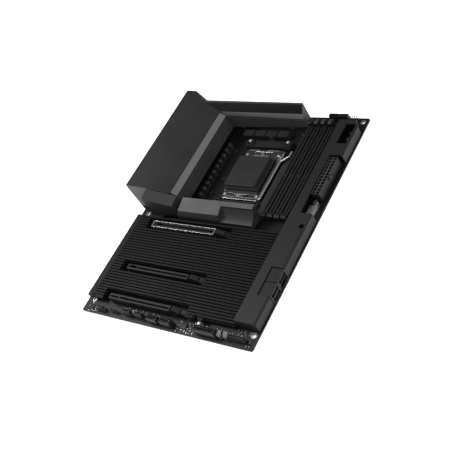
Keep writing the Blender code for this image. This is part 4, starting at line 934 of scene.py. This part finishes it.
class BOARD_OT_power_sockets(bpy.types.Operator):
    """Power connectors and the pins inside them"""
    bl_idname = "board.power_sockets"
    bl_label = "Power sockets"

    def execute(self, context):
        pins = []
        x0, _, y0, y1, _, _ = span("atx_power_24pin")

        def faces_up(x, y, z, normal):
            return normal.z > 0.9 and z > 11
        # Tops of the 24-pin socket are painted grey over black nylon: painted highlight.
        paint(dressed("atx_power_24pin", "nylon_deep_black", 0.2 * MM), "nylon_grey", faces_up)
        pitch = (y1 - y0) / 12
        pins.append(grid("power_pins_0", (x0 + 2.5, y0 + pitch / 2, 7.0), (0, pitch, 0), 12, (5.0, 0, 0), 2,
                         (1.0, 1.0, 7.0), "tin_plate"))
        for index in (1, 2):
            node = f"eps_power_{index}"
            dressed(node, "nylon_black", 0.2 * MM)
            x0, x1, y0, _, _, _ = span(node)
            pitch = (x1 - x0) / 4
            pins.append(grid(f"power_pins_{index}", (x0 + pitch / 2, y0 + 2.5, 7.0), (pitch, 0, 0), 4,
                             (0, 5.0, 0), 2, (1.0, 1.0, 7.0), "tin_plate"))
        merge("power_pins", pins)
        return {"FINISHED"}


class BOARD_OT_sata(bpy.types.Operator):
    """Drive connectors in the memory edge"""
    bl_idname = "board.sata"
    bl_label = "Drive connectors"

    def execute(self, context):
        tongues = []
        for index in (1, 2):
            node = f"sata_block_{index}"
            dressed(node, "nylon_black", 0.25 * MM)
            _, x1, y0, y1, _, _ = span(node)
            for low in (2.9, 8.7):
                tongues.append((x1 - 7.2, x1 - 1.2, y0 + 3.2, y1 - 4.6, low, low + 1.2))
        blocks("drive_tongues", tongues, "nylon_deep_black", bevel=0.1)
        return {"FINISHED"}


class BOARD_OT_headers(bpy.types.Operator):
    """Pin headers along the lower and upper edges"""
    bl_idname = "board.headers"
    bl_label = "Pin headers"

    def execute(self, context):
        pitch = 2.54
        width = context.scene.board_parts.pin / MM + 0.04
        x1, y1 = span("pcb")[1], span("pcb")[3]
        low, top = y1 - 10.4, 2.2
        # first pin's place, columns, rows and pin top of each header, in its moulding's order
        rows = {
            "bottom_headers": ((24.0, low + 2.0, 5, 2, 8.4, 0), (46.0, low + 2.6, 4, 1, 8.4, 0),
                               (66.0, low + 0.6, 4, 1, 8.2, 0.8), (84.0, low + 0.6, 4, 1, 8.2, 0.8),
                               (104.0, low, 5, 2, 8.0, 0.8), (123.0, low, 5, 2, 8.0, 0.8)),
            "usb3_header": ((x1 - 73.6, low, 10, 2, 8.6, 0.8),),
            "panel_header": ((x1 - 31.0, low, 8, 2, 8.4, 0),),
            "top_headers": ((x1 - 48.0, top, 4, 1, 8.6, 0.8), (x1 - 35.4, top, 4, 1, 8.6, 0.8),
                            (x1 - 22.4, top + 0.8, 4, 1, 8.0, 0)),
        }
        pins = []
        for node, headers in rows.items():
            dressed(node, "nylon_black", 0.12 * MM)
            for index, (x, y, columns, lines, height, rim) in enumerate(headers):
                start = (x + rim + pitch / 2, y + rim + pitch / 2, (2.5 + height) / 2 + 0.05)
                pins.append(grid(f"{node}_pins_{index}", start, (pitch, 0, 0), columns, (0, pitch, 0), lines,
                                 (width, width, height - 2.4), "aluminium_can"))
        merge("header_pins", pins)
        dressed("usb_c_header", "tinned_steel", 0.2 * MM)
        return {"FINISHED"}


class BOARD_OT_regulators(bpy.types.Operator):
    """Power stages, chokes and the capacitor row"""
    bl_idname = "board.regulators"
    bl_label = "Regulators"

    def execute(self, context):
        dressed("power_stages_rear", "ferrite_grey", 0.3 * MM)
        dressed("chokes_top", "ferrite_grey", 0.4 * MM)
        dressed("capacitor_row", "powder_coat_black", 0.2 * MM)
        x0, x1, y0, y1, _, top = span("capacitor_row")
        middle = (x0 + x1) / 2
        pitch = (y1 - y0 - 6.2) / 9
        places = [(middle, y0 + 3.1 + pitch * i, top - 0.1) for i in range(10)]
        studs("capacitor_tops", places, "aluminium_can", 2.6, 0.35, 0.92, 0.7, 0.08, 20)
        return {"FINISHED"}


class BOARD_OT_controls(bpy.types.Operator):
    """Bench buttons and the code display"""
    bl_idname = "board.controls"
    bl_label = "Bench controls"

    def execute(self, context):
        dressed("control_base", "nylon_black", 0.2 * MM)
        for node in ("power_button", "reset_button"):
            dressed(node, "nylon_grey", 0.25 * MM)
        return {"FINISHED"}


class BOARD_OT_rear_ports(bpy.types.Operator):
    """Rear port blocks, their tongues, the port shield and its buttons"""
    bl_idname = "board.rear_ports"
    bl_label = "Rear ports"

    def execute(self, context):
        for node in ("usb_stack_1", "usb_stack_2", "display_ports", "network_port"):
            dressed(node, "tinned_steel", 0.25 * MM)
        dressed("port_shield", "powder_coat_black", 0.15 * MM)
        dressed("audio_jacks", "nylon_black", 0.3 * MM)
        dressed("rear_button_block", "nylon_black", 0.3 * MM)
        for node in ("clear_button", "update_button"):
            dressed(node, "nylon_grey", 0.25 * MM)
        tongues = []
        for node in ("usb_stack_1", "usb_stack_2"):
            x0, _, y0, y1, _, _ = span(node)
            tongues += [(x0 + 1.4, x0 + 11.2, y0 + 2.2, y1 - 2.2, low + 2.6, low + 4.4)
                        for low in (1.6, 10.0, 20.6, 29.0)]
        x0, _, y0, y1, _, _ = span("network_port")
        tongues += [(x0 + 1.4, x0 + 11.2, y0 + 3.0, y1 - 3.0, low + 2.6, low + 4.4) for low in (1.6, 10.0)]
        blocks("usb_tongues", tongues, "port_blue", bevel=0.15)
        return {"FINISHED"}


class BOARD_OT_solder_side(bpy.types.Operator):
    """Backplate and the soldered pins under the board"""
    bl_idname = "board.solder_side"
    bl_label = "Solder side"

    def execute(self, context):
        dressed("cpu_backplate", "powder_coat_black", 0.2 * MM)
        for node in ("solder_tails_ports", "solder_tails_headers"):
            dressed(node, "tin_plate", 0.1 * MM)
        tails = []
        for index in range(1, 5):
            x0, x1, _, _, _, _ = span(f"dimm_slot_{index}")
            middle = (x0 + x1) / 2
            tails.append(grid(f"memory_tails_{index}", (middle - 1.6, 26, -1.9), (0, 1.7, 0), 72,
                              (3.2, 0, 0), 2, (0.7, 0.7, 0.6), "tin_plate"))
        for index in range(1, 4):
            x0, _, y0, y1, _, _ = span(f"pcie_slot_{index}")
            middle = (y0 + y1) / 2
            tails.append(grid(f"card_tails_{index}", (x0 + 3, middle - 1.6, -1.9), (2.0, 0, 0), 43,
                              (0, 3.2, 0), 2, (0.7, 0.7, 0.6), "tin_plate"))
        x0, _, y0, _, _, _ = span("atx_power_24pin")
        tails.append(grid("power_tails", (x0 + 2.5, y0 + 2.2, -2.0), (0, 4.3, 0), 12, (5.0, 0, 0), 2,
                          (1.2, 1.2, 0.8), "tin_plate"))
        merge("soldered_pins", tails)
        return {"FINISHED"}


class BOARD_PT_panel(bpy.types.Panel):
    """Sizes, finishes and makers of the motherboard"""
    bl_label = "Motherboard"
    bl_space_type = "VIEW_3D"
    bl_region_type = "UI"
    bl_category = "Motherboard"

    def draw(self, context):
        layout = self.layout
        for group in (context.scene.board_finishes, context.scene.board_parts, context.scene.board_studio):
            box = layout.box()
            for key in group.__annotations__:
                box.prop(group, key)
        for operator in OPERATORS:
            layout.operator(operator.bl_idname)


OPERATORS = (BOARD_OT_stage, BOARD_OT_circuit_board, BOARD_OT_port_cover, BOARD_OT_heatsinks,
             BOARD_OT_drive_covers, BOARD_OT_edge_cover, BOARD_OT_socket, BOARD_OT_memory,
             BOARD_OT_card_slots, BOARD_OT_power_sockets, BOARD_OT_sata, BOARD_OT_headers,
             BOARD_OT_regulators, BOARD_OT_controls, BOARD_OT_rear_ports, BOARD_OT_solder_side)
CLASSES = (FinishSettings, PartSettings, StudioSettings, *OPERATORS, BOARD_PT_panel)


def register():
    for kind in CLASSES:
        bpy.utils.register_class(kind)
    bpy.types.Scene.board_finishes = PointerProperty(type=FinishSettings)
    bpy.types.Scene.board_parts = PointerProperty(type=PartSettings)
    bpy.types.Scene.board_studio = PointerProperty(type=StudioSettings)


def unregister():
    del bpy.types.Scene.board_studio
    del bpy.types.Scene.board_parts
    del bpy.types.Scene.board_finishes
    for kind in reversed(CLASSES):
        bpy.utils.unregister_class(kind)


def main():
    register()
    for operator in OPERATORS:
        group, name = operator.bl_idname.split(".")
        getattr(getattr(bpy.ops, group), name)()


if __name__ == "__main__":
    main()
